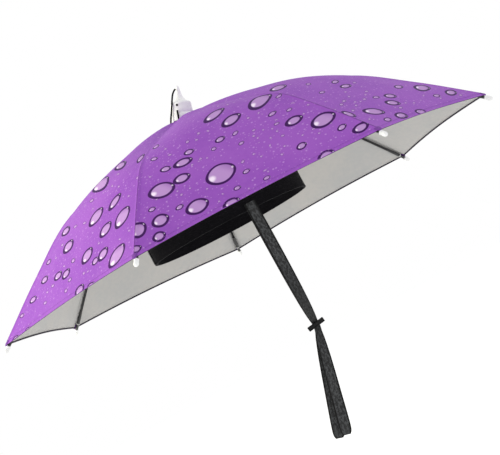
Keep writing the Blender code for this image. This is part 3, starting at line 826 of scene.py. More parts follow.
def small_drop_masks(tree, cloth, density, radius, stretch):
    """Masks of small drops, one to a cell of a Voronoi pattern, and each cell's chance."""
    cells = add_node(tree, "TexVoronoi", {"Vector": cloth, "Scale": density}, voronoi_dimensions="2D")
    offset = add_node(tree, "VectorMath", {0: cloth, 1: cells.outputs["Position"]}, operation="SUBTRACT")
    chance = add_node(tree, "SeparateColor", {"Color": cells.outputs["Color"]}).outputs
    size = maths(tree, "MULTIPLY", ramp(tree, chance["Red"], *SMALL_SIZES), radius / density)
    parts = add_node(tree, "SeparateXYZ", {"Vector": offset.outputs["Vector"]}).outputs
    along = maths(tree, "DIVIDE", parts["X"], maths(tree, "MULTIPLY", size, stretch))
    across = maths(tree, "DIVIDE", maths(tree, "MULTIPLY", parts["Y"], -1.0), size)
    width = maths(tree, "MULTIPLY", size, 1000.0)
    place = add_node(tree, "CombineXYZ", {"X": along, "Y": across, "Z": width}).outputs["Vector"]
    return use_group(tree, drop_group, Place=place), chance["Green"]


def speck_mask(tree, cloth, density, radius, strength):
    """Pale dots on some cells of a fine Voronoi pattern, in loose clusters."""
    cells = add_node(tree, "TexVoronoi", {"Vector": cloth, "Scale": density}, voronoi_dimensions="2D")
    chance = add_node(tree, "SeparateColor", {"Color": cells.outputs["Color"]}).outputs["Green"]
    clusters = {"Vector": cloth, "Scale": CLUSTERS_PER_METRE, "Detail": 1.0}
    cluster = add_node(tree, "TexNoise", clusters).outputs["Fac"]
    dot = ramp(tree, cells.outputs["Distance"], radius, radius * 0.4)
    shown = ramp(tree, maths(tree, "ADD", chance, cluster), *CLUSTER_EDGE, 0.0, strength)
    return maths(tree, "MULTIPLY", dot, shown)


def make_print():
    made, tree, shader = new_material("purple_water_drop_print", Roughness=0.55, Specular_IOR_Level=0.10)
    cloth = add_node(tree, "UVMap", uv_map="cloth").outputs["UV"]
    uneven = use_group(tree, uneven_group, Size=0.09, Fine=0.25)
    weave = use_group(tree, weave_group, Cloth=cloth, Across=THREADS_PER_METRE, Along=THREADS_PER_METRE)
    colour = blend_colour(tree, uneven["Tone"], GROUND_DEEP, GROUND_LIGHT)
    for row in SPECKS:
        colour = blend_colour(tree, speck_mask(tree, cloth, *row), colour, SPECK_COLOUR)
    masks, chance = small_drop_masks(tree, cloth, *SMALL_DROPS)
    colour = lay_drop(tree, colour, masks, ramp(tree, chance, *SMALL_SHOWN))
    for number in range(DROP_LAYERS):
        place = add_node(tree, "Attribute", attribute_name=f"drop_{number + 1}").outputs["Vector"]
        colour = lay_drop(tree, colour, use_group(tree, drop_group, Place=place))
    seam = add_node(tree, "Attribute", attribute_name="seam").outputs["Fac"]
    ends, full, strength, depth = SEAM_LINE
    line = ramp(tree, seam, ends, full)
    colour = blend_colour(tree, maths(tree, "MULTIPLY", line, strength), colour, RIM_COLOUR)
    put(tree, shader.inputs["Base Color"], colour)
    put(tree, shader.inputs["Roughness"], ramp(tree, weave["Shade"], 0.2, 0.8, 0.50, 0.62))
    bump(tree, shader, maths(tree, "MULTIPLY_ADD", line, depth, weave["Height"]), 0.00006)
    return made


cloth_print = make_print()
print("material:", cloth_print.name)

# %% [markdown]
# The inside is coated silver grey to keep the sun out. Coatings lie unevenly in the weave, so the
# grey drifts a little warmer and cooler and its shine is low.

# %% Coated inside


def make_coating(name, cool, warm):
    made, tree, shader = new_material(name, Roughness=0.5, Specular_IOR_Level=0.35)
    cloth = add_node(tree, "UVMap", uv_map="cloth").outputs["UV"]
    uneven = use_group(tree, uneven_group, Size=0.07, Fine=0.35)
    weave = use_group(tree, weave_group, Cloth=cloth, Across=THREADS_PER_METRE, Along=THREADS_PER_METRE)
    put(tree, shader.inputs["Base Color"], blend_colour(tree, uneven["Tone"], cool, warm))
    put(tree, shader.inputs["Roughness"], ramp(tree, weave["Shade"], 0.2, 0.8, 0.45, 0.6))
    bump(tree, shader, maths(tree, "ADD", weave["Height"], uneven["Grain"]), 0.00008)
    return made


cloth_coating = make_coating("grey_sun_coating", (0.408, 0.408, 0.413), (0.470, 0.454, 0.440))
print("material:", cloth_coating.name)


def add_piece(name, mesh, *materials, smooth_deg=40.0):
    """A finished mesh as a piece that rides with the hat."""
    mesh.name = name
    for material in materials:
        mesh.materials.append(material)
    mesh.shade_smooth()
    mesh.set_sharp_from_angle(angle=math.radians(smooth_deg))
    made = bpy.data.objects.new(name, mesh)
    bpy.context.scene.collection.objects.link(made)
    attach(made, "root")
    return made


canopy_cloth = add_piece("canopy_cloth", sheet_mesh, cloth_print, cloth_coating, smooth_deg=60.0)
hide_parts("canopy")

# %% [markdown]
# Most other pieces are a section carried along a path: ribs, cords, tapes, hems. One helper makes
# them all. It also lays down cloth coordinates in metres, across and along, so a weave or a braid
# keeps its real size on every piece.

# %% Section along a path
UP = Vector((0.0, 0.0, 1.0))


def path_length(points):
    return sum((b - a).length for a, b in zip(points, points[1:]))


def loft_mesh(name, rings, closed_path=False):
    """A skin over rings of points with the same count, with metres round and along as its map."""
    work = bmesh.new()
    layer = work.loops.layers.uv.new("cloth")
    count = len(rings[0])
    measured = rings[len(rings) // 2]
    around = [0.0]
    for k in range(count):
        around.append(around[-1] + (measured[(k + 1) % count] - measured[k]).length)
    centres = [sum(ring, Vector()) / count for ring in rings]
    along = [0.0]
    for i in range(1, len(rings) + 1):
        along.append(along[-1] + (centres[i % len(rings)] - centres[i - 1]).length)
    verts = [[work.verts.new(point) for point in ring] for ring in rings]
    for i in range(len(rings) if closed_path else len(rings) - 1):
        first, after = verts[i], verts[(i + 1) % len(rings)]
        for k in range(count):
            m = (k + 1) % count
            face = work.faces.new((first[k], first[m], after[m], after[k]))
            places = ((around[k], along[i]), (around[k + 1], along[i]),
                      (around[k + 1], along[i + 1]), (around[k], along[i + 1]))
            for loop, place in zip(face.loops, places):
                loop[layer].uv = place
    if not closed_path:
        work.faces.new(verts[0])
        work.faces.new(verts[-1])
    bmesh.ops.recalc_face_normals(work, faces=work.faces)
    mesh = bpy.data.meshes.new(name)
    work.to_mesh(mesh)
    work.free()
    return mesh


def path_frames(path, sides, closed=False):
    """Centre, side and face directions at each point, square to the path."""
    frames = []
    count = len(path)
    for i, point in enumerate(path):
        ahead = path[(i + 1) % count] if closed else path[min(i + 1, count - 1)]
        behind = path[i - 1] if closed or i else path[0]
        along = (ahead - behind).normalized()
        side = sides(i) if callable(sides) else sides
        side = (side - along * side.dot(along)).normalized()
        frames.append((point, side, side.cross(along)))
    return frames


def sweep(name, path, sides, section, closed=False):
    """section is a list of (across, out) or a function of the step that gives one."""
    rings = []
    for i, (centre, side, face) in enumerate(path_frames(path, sides, closed)):
        outline = section(i) if callable(section) else section
        rings.append([centre + side * x + face * y for x, y in outline])
    return loft_mesh(name, rings, closed)


def ellipse(half_width, half_height, count=12):
    turns = [2 * math.pi * k / count for k in range(count)]
    return [(half_width * math.cos(a), half_height * math.sin(a)) for a in turns]


def turned_mesh(name, foot, axis, profile, sides=32):
    """A turned piece from rows of (height, radius) along an axis."""
    side = axis.orthogonal().normalized()
    other = axis.cross(side)
    turns = [2 * math.pi * k / sides for k in range(sides)]
    rings = [[foot + axis * height + (side * math.cos(a) + other * math.sin(a)) * radius for a in turns]
             for height, radius in profile]
    return loft_mesh(name, rings)


def joined(name, meshes):
    """Several meshes as one."""
    work = bmesh.new()
    for mesh in meshes:
        work.from_mesh(mesh)
        bpy.data.meshes.remove(mesh)
    made = bpy.data.meshes.new(name)
    work.to_mesh(made)
    work.free()
    return made


print("shape helpers ready")

# %% [markdown]
# The rest of the finishes are short. Each is a Principled shader with its colour, and the shared
# groups for unevenness and weave. The steel is painted black and rubs grey at its edges, the
# plastics have a moulded grain, and the elastic and strap are ribbed or speckled weaves.

# %% Plastic and painted steel
SHARP_EDGES = (0.54, 0.62, 0.0, 0.6)


def make_moulded(name, deep, light, roughness, grain, gloss=0.5):
    made, tree, shader = new_material(name, Specular_IOR_Level=gloss)
    uneven = use_group(tree, uneven_group, Size=0.012, Fine=0.4)
    put(tree, shader.inputs["Base Color"], blend_colour(tree, uneven["Tone"], deep, light))
    put(tree, shader.inputs["Roughness"],
        ramp(tree, uneven["Tone"], 0.0, 1.0, roughness - 0.05, roughness + 0.08))
    bump(tree, shader, uneven["Grain"], grain)
    return made


def make_painted_steel():
    made, tree, shader = new_material("black_painted_steel", Specular_IOR_Level=0.5)
    uneven = use_group(tree, uneven_group, Size=0.02, Fine=0.5)
    worn = ramp(tree, add_node(tree, "NewGeometry").outputs["Pointiness"], *SHARP_EDGES)
    worn = maths(tree, "MULTIPLY", worn, uneven["Tone"])
    paint = blend_colour(tree, uneven["Tone"], (0.010, 0.010, 0.011), (0.022, 0.022, 0.024))
    put(tree, shader.inputs["Base Color"], blend_colour(tree, worn, paint, (0.16, 0.16, 0.17)))
    put(tree, shader.inputs["Metallic"], worn)
    put(tree, shader.inputs["Roughness"], ramp(tree, uneven["Tone"], 0.0, 1.0, 0.30, 0.45))
    bump(tree, shader, uneven["Grain"], 0.00004)
    return made


white_plastic = make_moulded("white_moulded_plastic", (0.76, 0.76, 0.77), (0.86, 0.86, 0.86), 0.30, 0.00005)
black_plastic = make_moulded("black_moulded_plastic", (0.012, 0.012, 0.013),
                             (0.026, 0.026, 0.028), 0.36, 0.00006)
deep_plastic = make_moulded("deep_black_moulded_plastic", (0.004, 0.004, 0.005),
                            (0.009, 0.009, 0.010), 0.30, 0.00005, gloss=0.18)
steel = make_painted_steel()
print("materials:", white_plastic.name, black_plastic.name, deep_plastic.name, steel.name)

# %% Webbing, elastic, cord and thread
FLECK_EDGE = 0.12
FLECK_HEIGHT = 0.4
WEAVE_SHARE, BLOTCH_SHARE = 0.6, 0.4
DARK_EDGE = (0.62, 0.84)
# The most painted shade on a strap, as a share of the way to its deep colour
MOST_PAINTED_SHADE = 0.72


def make_webbing(name, deep, light, fleck, across, along, height, fleck_share=0.62,
                 sheen=0.05, gloss=0.2, fleck_scale=(900.0, 330.0)):
    """A coarse weave with pale flecks, darker where the mesh's edge values are set, with painted shade
    where its painted shade values are set.
    """
    made, tree, shader = new_material(name, Roughness=0.8, Sheen_Weight=sheen, Sheen_Roughness=0.5,
                                      Specular_IOR_Level=gloss)
    cloth = add_node(tree, "UVMap", uv_map="cloth").outputs["UV"]
    weave = use_group(tree, weave_group, Cloth=cloth, Across=across, Along=along)
    uneven = use_group(tree, uneven_group, Size=0.03, Fine=0.5)
    stretch = add_node(tree, "Mapping", {"Vector": cloth, "Scale": (*fleck_scale, 1.0)}).outputs["Vector"]
    specks = add_node(tree, "TexNoise", {"Vector": stretch, "Scale": 1.0, "Detail": 2.0}).outputs["Fac"]
    mask = ramp(tree, specks, fleck_share, fleck_share + FLECK_EDGE)
    blotch = maths(tree, "MULTIPLY", uneven["Tone"], BLOTCH_SHARE)
    tone = maths(tree, "MULTIPLY_ADD", weave["Shade"], WEAVE_SHARE, blotch)
    colour = blend_colour(tree, mask, blend_colour(tree, tone, deep, light), fleck)
    edge = add_node(tree, "Attribute", attribute_name="edge").outputs["Fac"]
    # Painted shade on the strap, darkest round the slider, read from the strap's own values
    handled = add_node(tree, "Attribute", attribute_name="handled").outputs["Fac"]
    handled = maths(tree, "MULTIPLY", handled, MOST_PAINTED_SHADE)
    darker = maths(tree, "MAXIMUM", ramp(tree, edge, *DARK_EDGE), handled)
    put(tree, shader.inputs["Base Color"], blend_colour(tree, darker, colour, deep))
    put(tree, shader.inputs["Roughness"], ramp(tree, tone, 0.0, 1.0, 0.85, 0.7))
    bump(tree, shader, maths(tree, "MULTIPLY_ADD", mask, FLECK_HEIGHT, weave["Height"]), height)
    return made


band_elastic = make_webbing("black_ribbed_elastic", (0.0022, 0.0020, 0.0030), (0.0065, 0.0058, 0.0080),
                            (0.016, 0.015, 0.020), 2500.0, 4200.0, 0.0002, sheen=0.0, gloss=0.08)
strap_webbing = make_webbing("charcoal_strap_webbing", (0.0035, 0.0035, 0.0042), (0.050, 0.051, 0.054),
                             (0.070, 0.073, 0.078), 3800.0, 3000.0, 0.0002, 0.46, 0.10,
                             fleck_scale=(760.0, 260.0))
tape_twill = make_webbing("black_tape", (0.006, 0.006, 0.007), (0.016, 0.016, 0.018),
                          (0.035, 0.035, 0.038), 5200.0, 5200.0, 0.00012)
cord_braid = make_webbing("black_braided_cord", (0.002, 0.002, 0.002), (0.006, 0.006, 0.006),
                          (0.018, 0.018, 0.018), 3100.0, 3100.0, 0.00015, sheen=0.0, gloss=0.06)
hem_cloth = make_webbing("dark_rolled_hem", (0.010, 0.006, 0.016), (0.024, 0.014, 0.034),
                         (0.05, 0.03, 0.07), 9000.0, 9000.0, 0.00006)
corner_cloth = make_webbing("deep_purple_corner", (0.130, 0.030, 0.250), (0.200, 0.055, 0.340),
                            (0.30, 0.12, 0.45), 9000.0, 9000.0, 0.00006)
thread_purple = make_webbing("purple_thread", (0.190, 0.055, 0.330), (0.270, 0.085, 0.430),
                             (0.36, 0.16, 0.52), 9000.0, 16000.0, 0.00004)
thread_pale = make_webbing("pale_thread", (0.50, 0.50, 0.50), (0.66, 0.66, 0.66),
                           (0.80, 0.80, 0.80), 9000.0, 16000.0, 0.00004)
thread_black = make_webbing("black_thread", (0.008, 0.008, 0.009), (0.025, 0.025, 0.027),
                            (0.06, 0.06, 0.06), 9000.0, 16000.0, 0.00004)
seam_cloth = make_coating("grey_seam_allowance", (0.36, 0.36, 0.37), (0.47, 0.46, 0.455))
print("woven finishes: 10")

# %% [markdown]
# The hem is the cloth's own edge, rolled over twice to the inside and stitched. From outside the print
# runs right to the edge, and from inside the roll is a thin dark line against the grey. It is a flat
# oval section carried once round the rim, just inside the scalloped edge of the sheet.

# %% Hem
HEM_HALF_WIDTH = 0.00100
HEM_HALF_THICKNESS = 0.00070
HEM_SET_BACK = 0.00095
HEM_DROP = 0.00045

hem_edge = (outer_points[-1] + inner_points[-1]) / 2
hem_before = (outer_points[-3] + inner_points[-3]) / 2
hem_inward = hem_before - hem_edge
hem_inward = hem_inward / np.linalg.norm(hem_inward, axis=-1, keepdims=True)
hem_path = [Vector(p) for p in hem_edge + hem_inward * HEM_SET_BACK - base_normals[-1] * HEM_DROP]
hem_sides = [Vector(v) for v in hem_inward]
hem_section = ellipse(HEM_HALF_WIDTH, HEM_HALF_THICKNESS)
canopy_hem = add_piece("canopy_hem", sweep(
    "canopy_hem", hem_path, lambda i: hem_sides[i], hem_section, closed=True), hem_cloth)
print("hem points:", len(hem_path))

# %% Stitches
STITCH_LIFT = 0.0002

# A stitch's bow: (part of its length, height in lifts)
STITCH_BOW = ((0.0, -0.6), (0.2, 0.6), (0.5, 1.0), (0.8, 0.6), (1.0, -0.6))


def stitch_meshes(points, outs, length=0.0021, pitch=0.0030, radius=0.00021):
    """Single stitches along a line of points, each a bowed thread; outs are the cloth's normals."""
    steps = [0.0]
    for a, b in zip(points, points[1:]):
        steps.append(steps[-1] + (b - a).length)

    def at(distance):
        index = max(0, min(len(points) - 2, int(np.searchsorted(steps, distance)) - 1))
        share = (distance - steps[index]) / max(1e-9, steps[index + 1] - steps[index])
        return points[index].lerp(points[index + 1], share), outs[index].lerp(outs[index + 1], share)

    made = []
    for number in range(int(steps[-1] / pitch)):
        start = number * pitch + (pitch - length) / 2
        path = []
        for share, bow in STITCH_BOW:
            place, out = at(start + length * share)
            path.append(place + out * STITCH_LIFT * bow)
        side = (path[-1] - path[0]).cross(at(start)[1])
        made.append(sweep("stitch", path, side, ellipse(radius, radius, 6)))
    return made


HEM_STITCH_BACK = 0.0042
stitch_row = int(round(GORE_ROWS - HEM_STITCH_BACK / (down_the_gore[-1] / GORE_ROWS)))
stitch_line = [Vector(p) for p in outer_points[stitch_row]]
stitch_outs = [Vector(n) for n in base_normals[stitch_row]]
hem_stitches = add_piece("hem_stitches", joined("hem_stitches", stitch_meshes(
    stitch_line + stitch_line[:1], stitch_outs + stitch_outs[:1])), thread_purple)
print("hem stitch faces:", len(hem_stitches.data.polygons))

# %% [markdown]
# Inside, each seam leaves a narrow doubled strip of cloth that lies beside its rib. It stops short of
# the rib itself, so the strip is set to one side of the seam.

# %% Seam strips
STRIP_HALF_WIDTH = 0.0021
STRIP_THICKNESS = 0.0005
STRIP_OFFSET = 0.0044
FIRST_STRIP_ROW = 6
STRIP_AHEAD = 0.004


def seam_strip(index):
    """A strip beside rib index on the inner side, following the cloth."""
    path, sides = [], []
    for row in range(FIRST_STRIP_ROW, GORE_ROWS, 2):
        reach = row_place(row)
        t = min(0.4, STRIP_OFFSET / gore_width(reach))
        place = dome_point(index, t, reach)
        ahead = dome_point(index, t, reach + STRIP_AHEAD)
        beside = dome_point(index, min(0.45, t * 1.4), reach)
        normal = (ahead - place).cross(beside - place).normalized()
        drop = CLOTH_LIFT + cloth_move(index, t, reach) - CLOTH_WALL - STRIP_THICKNESS * 0.4
        path.append(place + normal * drop)
        sides.append((beside - place).normalized())
    outline = [(-STRIP_HALF_WIDTH, -0.4 * STRIP_THICKNESS), (STRIP_HALF_WIDTH, -0.5 * STRIP_THICKNESS),
               (STRIP_HALF_WIDTH * 1.05, 0.0), (STRIP_HALF_WIDTH, 0.5 * STRIP_THICKNESS),
               (0.0, 0.62 * STRIP_THICKNESS), (-STRIP_HALF_WIDTH, 0.4 * STRIP_THICKNESS)]
    return sweep("seam", path, lambda i: sides[i], outline)


for index in range(RIB_COUNT):
    strip = add_piece(f"seam_strip_{index + 1}", seam_strip(index), seam_cloth)

# %% [markdown]
# At each rib's end the cloth is folded double into a small corner, which the end of the rib pulls
# outwards. The corner is a little cup of darker cloth over both faces of the sheet.

# %% Corner pockets
POCKET_LENGTH = 0.0060
POCKET_HALF_WIDTH = 0.0034
POCKET_HALF_THICKNESS = 0.0012
POCKET_OVERHANG = 0.0012
POCKET_SHARES = (0.0, 0.15, 0.35, 0.6, 0.8, 0.92, 1.0)
DIRECTION_STEP = 0.01


def rib_direction(index, reach):
    ahead = rib_point(index, min(1.0, reach + DIRECTION_STEP))
    return (ahead - rib_point(index, reach - DIRECTION_STEP)).normalized()


def corner_pocket(index):
    end = rib_point(index, 1.0)
    along = rib_direction(index, 1.0)
    side = rib_side(index)
    face = along.cross(side)
    face = face if face.z > 0 else -face
    path, halves = [], []
    for share in POCKET_SHARES:
        place = end + along * (POCKET_OVERHANG - POCKET_LENGTH * (1 - share))
        path.append(place + face * CLOTH_LIFT * 0.6)
        halves.append((POCKET_HALF_WIDTH * (1 - 0.10 * share - 0.75 * max(0.0, share - 0.6) ** 1.6 * 4),
                       POCKET_HALF_THICKNESS * (1 - 0.35 * share)))
    return sweep("pocket", path, side, lambda i: ellipse(max(0.0012, halves[i][0]), halves[i][1], 16))


for index in range(RIB_COUNT):
    pocket = add_piece(f"corner_pocket_{index + 1}", corner_pocket(index), corner_cloth)

# %% [markdown]
# The ribs are folded from steel strip into a small channel, open underneath, and painted. Each is one
# section carried along the rib's line, just under the cloth. A short plastic sleeve stiffens its end.

# %% Ribs
RIB_DROP = 0.0024
RIB_HALF = 0.0015
CHANNEL_WALL = 0.00045
RIB_STEPS = 40
HUB_RADIUS = 0.0120
SLEEVE_LENGTH = 0.030
SLEEVE_RADIUS = 0.0019


def below_rib(index, reach, drop):
    """A point under the rib's line, set off square to it."""
    along = rib_direction(index, reach)
    down = rib_side(index).cross(along).normalized()
    down = -down if down.z > 0 else down
    return rib_point(index, reach) + down * drop


def channel_section():
    """The folded strip: a round back with two sides and a slot underneath."""
    outer = [(RIB_HALF * math.cos(a), RIB_HALF * math.sin(a)) for a in
             [math.radians(d) for d in range(-50, 231, 20)]]
    inner_half = RIB_HALF - CHANNEL_WALL
    inner = [(inner_half * math.cos(a), inner_half * math.sin(a)) for a in
             [math.radians(d) for d in range(222, -43, -24)]]
    return outer + inner


def rib_line(index):
    start = (HUB_RADIUS + 0.0006) / RIM_RADIUS
    return [below_rib(index, start + (1 - start) * i / RIB_STEPS, RIB_DROP) for i in range(RIB_STEPS + 1)]


def up_faces(path, side):
    """The side direction that makes a section's out direction point up."""
    along = path[1] - path[0]
    return side if side.cross(along).z > 0 else -side


rib_lines = [rib_line(index) for index in range(RIB_COUNT)]
for index, line in enumerate(rib_lines):
    mesh = sweep("rib", line, up_faces(line, rib_side(index)), channel_section())
    rib = add_piece(f"steel_rib_{index + 1}", mesh, steel, smooth_deg=50.0)
    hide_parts(f"rib_{index + 1}")
print("rib length:", round(path_length(rib_lines[0]), 4), "m")

# %% Rib end sleeves and white tips
# (height in tip lengths, radius in tip radii)
TIP_PROFILE = (
    (-0.30, 0.62), (-0.02, 0.66), (0.02, 0.94), (0.06, 1.00), (0.13, 1.00), (0.16, 0.90), (0.20, 0.86),
    (0.26, 0.94), (0.55, 1.00), (0.70, 0.98), (0.82, 0.88), (0.91, 0.68), (0.97, 0.40), (1.00, 0.12),
)
TIP_RADIUS = 0.0026
TIP_LENGTH = 0.0092
TIP_OFFSET = 0.0003


def end_sleeve(index):
    line = rib_lines[index]
    path = [line[-1]]
    for point in reversed(line[:-1]):
        if (point - line[-1]).length > SLEEVE_LENGTH:
            break
        path.append(point)
    count = len(path) - 1
    radii = [SLEEVE_RADIUS * (0.92 if i == 0 else 1.0 if i < count else 0.86) for i in range(count + 1)]
    return sweep("sleeve", path, rib_side(index), lambda i: ellipse(radii[i], radii[i], 14))


TIE_BACK = 0.0085
TIE_TURNS = 3
TIE_STEPS = 14
TIE_PITCH = 0.00045
THREAD_RADIUS = 0.00026


def corner_tie(index):
    """Three turns of pale thread that hold the cloth's corner to the rib's end."""
    line = rib_lines[index]
    along = (line[-1] - line[-2]).normalized()
    side = along.orthogonal().normalized()
    other = along.cross(side)
    path = []
    for step in range(TIE_TURNS * TIE_STEPS + 1):
        angle = 2 * math.pi * step / TIE_STEPS
        path.append(line[-1] + along * (step * TIE_PITCH / TIE_STEPS - TIE_BACK)
                    + (side * math.cos(angle) + other * math.sin(angle)) * (SLEEVE_RADIUS + 0.0002))
    return sweep("tie", path, along, ellipse(THREAD_RADIUS, THREAD_RADIUS, 7))


for index, line in enumerate(rib_lines):
    tie = add_piece(f"corner_tie_{index + 1}", corner_tie(index), thread_pale)
    sleeve = add_piece(f"rib_sleeve_{index + 1}", end_sleeve(index), black_plastic)
    along = (line[-1] - line[-2]).normalized()
    profile = [(height * TIP_LENGTH, radius * TIP_RADIUS) for height, radius in TIP_PROFILE]
    mesh = turned_mesh("tip", line[-1] + along * TIP_OFFSET, along, profile, 28)
    tip = add_piece(f"white_tip_{index + 1}", mesh, white_plastic, smooth_deg=55.0)
    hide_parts(f"rib_tip_{index + 1}")
print("tips and sleeves:", 2 * RIB_COUNT)

# %% [markdown]
# A stretcher is a thinner channel from the sliding runner to the middle of its rib. It ends in a
# small bracket that wraps the rib and is held by a rivet.

# %% Stretchers and brackets
HUB_DROP = 0.0020
HUB_HEIGHT = 0.0055
GAP = 0.0003
POST_LENGTH = 0.0300
RUNNER_RADIUS = 0.0100
RUNNER_HEIGHT = 0.0090
RUNNER_LIFT = 0.0030
STRETCHER_REACH = 0.50
STRETCHER_HALF = 0.0013
BRACKET_HALF = 0.0021
BRACKET_WALL = 0.0004
BRACKET_LOW = -0.0046
BRACKET_STEPS = (-0.0055, -0.003, 0.0, 0.003, 0.0055)
PIN_START = -0.0031

# (height along the rivet, radius)
PIN_PROFILE = (
    (0.0, 0.0003), (0.0002, 0.0011), (0.0007, 0.0014), (0.0009, 0.0007), (0.0053, 0.0007),
    (0.0055, 0.0014), (0.0060, 0.0011), (0.0062, 0.0003),
)
POST_BOTTOM = TOP.z - HUB_DROP - HUB_HEIGHT - GAP - POST_LENGTH
RUNNER_BOTTOM = POST_BOTTOM + RUNNER_LIFT
RUNNER_MIDDLE = Vector((TOP.x, TOP.y, RUNNER_BOTTOM + RUNNER_HEIGHT / 2))


def stretcher_ends(index):
    low = RIB_DROP + RIB_HALF + GAP + STRETCHER_HALF
    near = RUNNER_MIDDLE + rib_out(index) * (RUNNER_RADIUS + 2 * GAP)
    return near, below_rib(index, STRETCHER_REACH, low)


def stretcher(index):
    near, far = stretcher_ends(index)
    shares = [0.0, 0.03, 0.06, 0.12, 0.5, 0.90, 0.95, 0.98, 1.0]
    flats = [0.45, 0.5, 0.8, 1.0, 1.0, 1.0, 0.8, 0.5, 0.45]
    path = [near.lerp(far, share) for share in shares]
    return sweep("stretcher", path, rib_side(index), lambda i: ellipse(
        STRETCHER_HALF * flats[i], STRETCHER_HALF * (1.35 - 0.35 * flats[i]), 14))


def bracket(index):
    """A folded saddle over the rib, the stretcher's flat end between its cheeks, and a rivet."""
    _, far = stretcher_ends(index)
    along = rib_direction(index, STRETCHER_REACH)
    side = up_faces([far, far + along], rib_side(index))
    centre = below_rib(index, STRETCHER_REACH, RIB_DROP)
    half, wall, low = BRACKET_HALF, BRACKET_WALL, BRACKET_LOW
    outline = [(-half, low), (-half, 0.4 * half), (-0.6 * half, 0.85 * half), (0.6 * half, 0.85 * half),
               (half, 0.4 * half), (half, low), (half - wall, low), (half - wall, 0.3 * half),
               (0.55 * half, 0.65 * half), (-0.55 * half, 0.65 * half), (-half + wall, 0.3 * half),
               (-half + wall, low)]
    saddle = sweep("saddle", [centre + along * step for step in BRACKET_STEPS], side, outline)
    pin = turned_mesh("pin", far + side * PIN_START, side, PIN_PROFILE, 16)
    return joined("bracket", [saddle, pin])


for index in range(RIB_COUNT):
    rod = add_piece(f"steel_stretcher_{index + 1}", stretcher(index), steel)
    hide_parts(f"stretcher_{index + 1}")
    clip = add_piece(f"rib_bracket_{index + 1}", bracket(index), steel)
near, far = stretcher_ends(0)
print("stretcher length:", round((far - near).length, 4), "m")

# %% [markdown]
# The ribs hinge in the notches of a small hub at the top, and the stretchers in those of a runner
# that slides on the post. A notched ring is a turned piece whose radius drops at every notch.

# %% Hub and post
HUB_NOTCH = 0.0034

# (height, radius, share of the notch)
HUB_PROFILE = (
    (0.0, 0.0040, 0.0), (0.0, 0.0104, 1.0), (0.0004, 0.0109, 1.0), (0.0014, 0.0119, 1.0),
    (0.0020, 0.0120, 1.0), (0.0036, 0.0120, 1.0), (0.0040, 0.0112, 0.3), (0.0055, 0.0060, 0.0),
)

# (height, radius)
POST_PROFILE = (
    (0.0, 0.0026), (0.0002, 0.0033), (0.0008, 0.0040), (0.0022, 0.0040), (0.0026, 0.0037),
    (0.0140, 0.0037), (0.0144, 0.0040), (0.0156, 0.0040), (0.0160, 0.0037), (0.0286, 0.0037),
    (0.0290, 0.0040), (0.0300, 0.0040),
)


def notched_mesh(name, foot, profile, notch_depth, steps=12):
    """A turned piece about the vertical, with a notch at each rib."""
    rings = []
    for height, radius, cut in profile:
        ring = []
        for k in range(RIB_COUNT * steps):
            angle = rib_angle(0) + 2 * math.pi * k / (RIB_COUNT * steps)
            notched = k % steps in (0, 1, steps - 1)
            reach = radius - (notch_depth * cut if notched else 0.0)
            ring.append(foot + Vector((reach * math.cos(angle), reach * math.sin(angle), height)))
        rings.append(ring)
    return loft_mesh(name, rings)


hub_foot = TOP - UP * (HUB_DROP + HUB_HEIGHT)
hub = add_piece("notched_hub", notched_mesh("hub", hub_foot, HUB_PROFILE, HUB_NOTCH),
                black_plastic, smooth_deg=30.0)
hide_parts("hub")
post_foot = Vector((TOP.x, TOP.y, POST_BOTTOM))
post = add_piece("slide_post", turned_mesh("post", post_foot, UP, POST_PROFILE), black_plastic)
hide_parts("post")
print("notches:", RIB_COUNT)

# %% Runner
RUNNER_NOTCH = 0.0030

# (height, radius, share of the notch)
RUNNER_PROFILE = (
    (0.0004, 0.0044, 0.0), (0.0, 0.0050, 0.0), (0.0, 0.0066, 0.0), (0.0006, 0.0072, 0.0),
    (0.0022, 0.0072, 0.0), (0.0026, 0.0098, 1.0), (0.0030, 0.0100, 1.0), (0.0060, 0.0100, 1.0),
    (0.0064, 0.0098, 1.0), (0.0068, 0.0070, 0.0), (0.0084, 0.0068, 0.0), (0.0090, 0.0060, 0.0),
    (0.0090, 0.0050, 0.0), (0.0086, 0.0044, 0.0),
)
runner_foot = Vector((TOP.x, TOP.y, RUNNER_BOTTOM))
runner = add_piece("notched_runner", notched_mesh("runner", runner_foot, RUNNER_PROFILE, RUNNER_NOTCH),
                   black_plastic, smooth_deg=30.0)
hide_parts("runner")
print("runner bottom:", round(RUNNER_BOTTOM, 4))

# %% [markdown]
# The top is closed by a white collar with a concave spire that leans forward. Its foot follows the
# dome. A black cord loop runs up its back right, with one short end and a small knot further forward.

# %% Spire
LEAN_DEG = 17.6
SPIRE_FOOT_RADIUS = 0.0136
SPIRE_FOOT_LIFT = 0.0018
STUD_RADIUS = 0.0045
SPIRE_SIDES = 64
LEAN_FOOT_LIFT = 0.0012

# (height along the lean, radius)
SPIRE_PROFILE = (
    (0.0030, 0.01335), (0.0042, 0.01310), (0.0046, 0.01280), (0.0052, 0.01280), (0.0056, 0.01300),
    (0.0100, 0.01260), (0.0150, 0.01235), (0.0160, 0.01228), (0.0168, 0.01205), (0.0174, 0.01150),
    (0.0180, 0.01040), (0.0188, 0.00900), (0.0200, 0.00720), (0.0214, 0.00590), (0.0230, 0.00490),
    (0.0250, 0.00400), (0.0275, 0.00325), (0.0305, 0.00265), (0.0335, 0.00222), (0.0355, 0.00190),
    (0.0368, 0.00150), (0.0375, 0.00080),
)


def lean_point(height, distance, angle):
    """A point about the spire's leaning axis; angle 0 is the front."""
    lean = math.radians(LEAN_DEG)
    axis = Vector((math.sin(lean), 0.0, math.cos(lean)))
    front = Vector((math.cos(lean), 0.0, -math.sin(lean)))
    foot = Vector((TOP.x, 0.0, TOP.z + LEAN_FOOT_LIFT))
    out = front * math.cos(angle) + Vector((0.0, math.sin(angle), 0.0))
    return foot + axis * height + out * distance


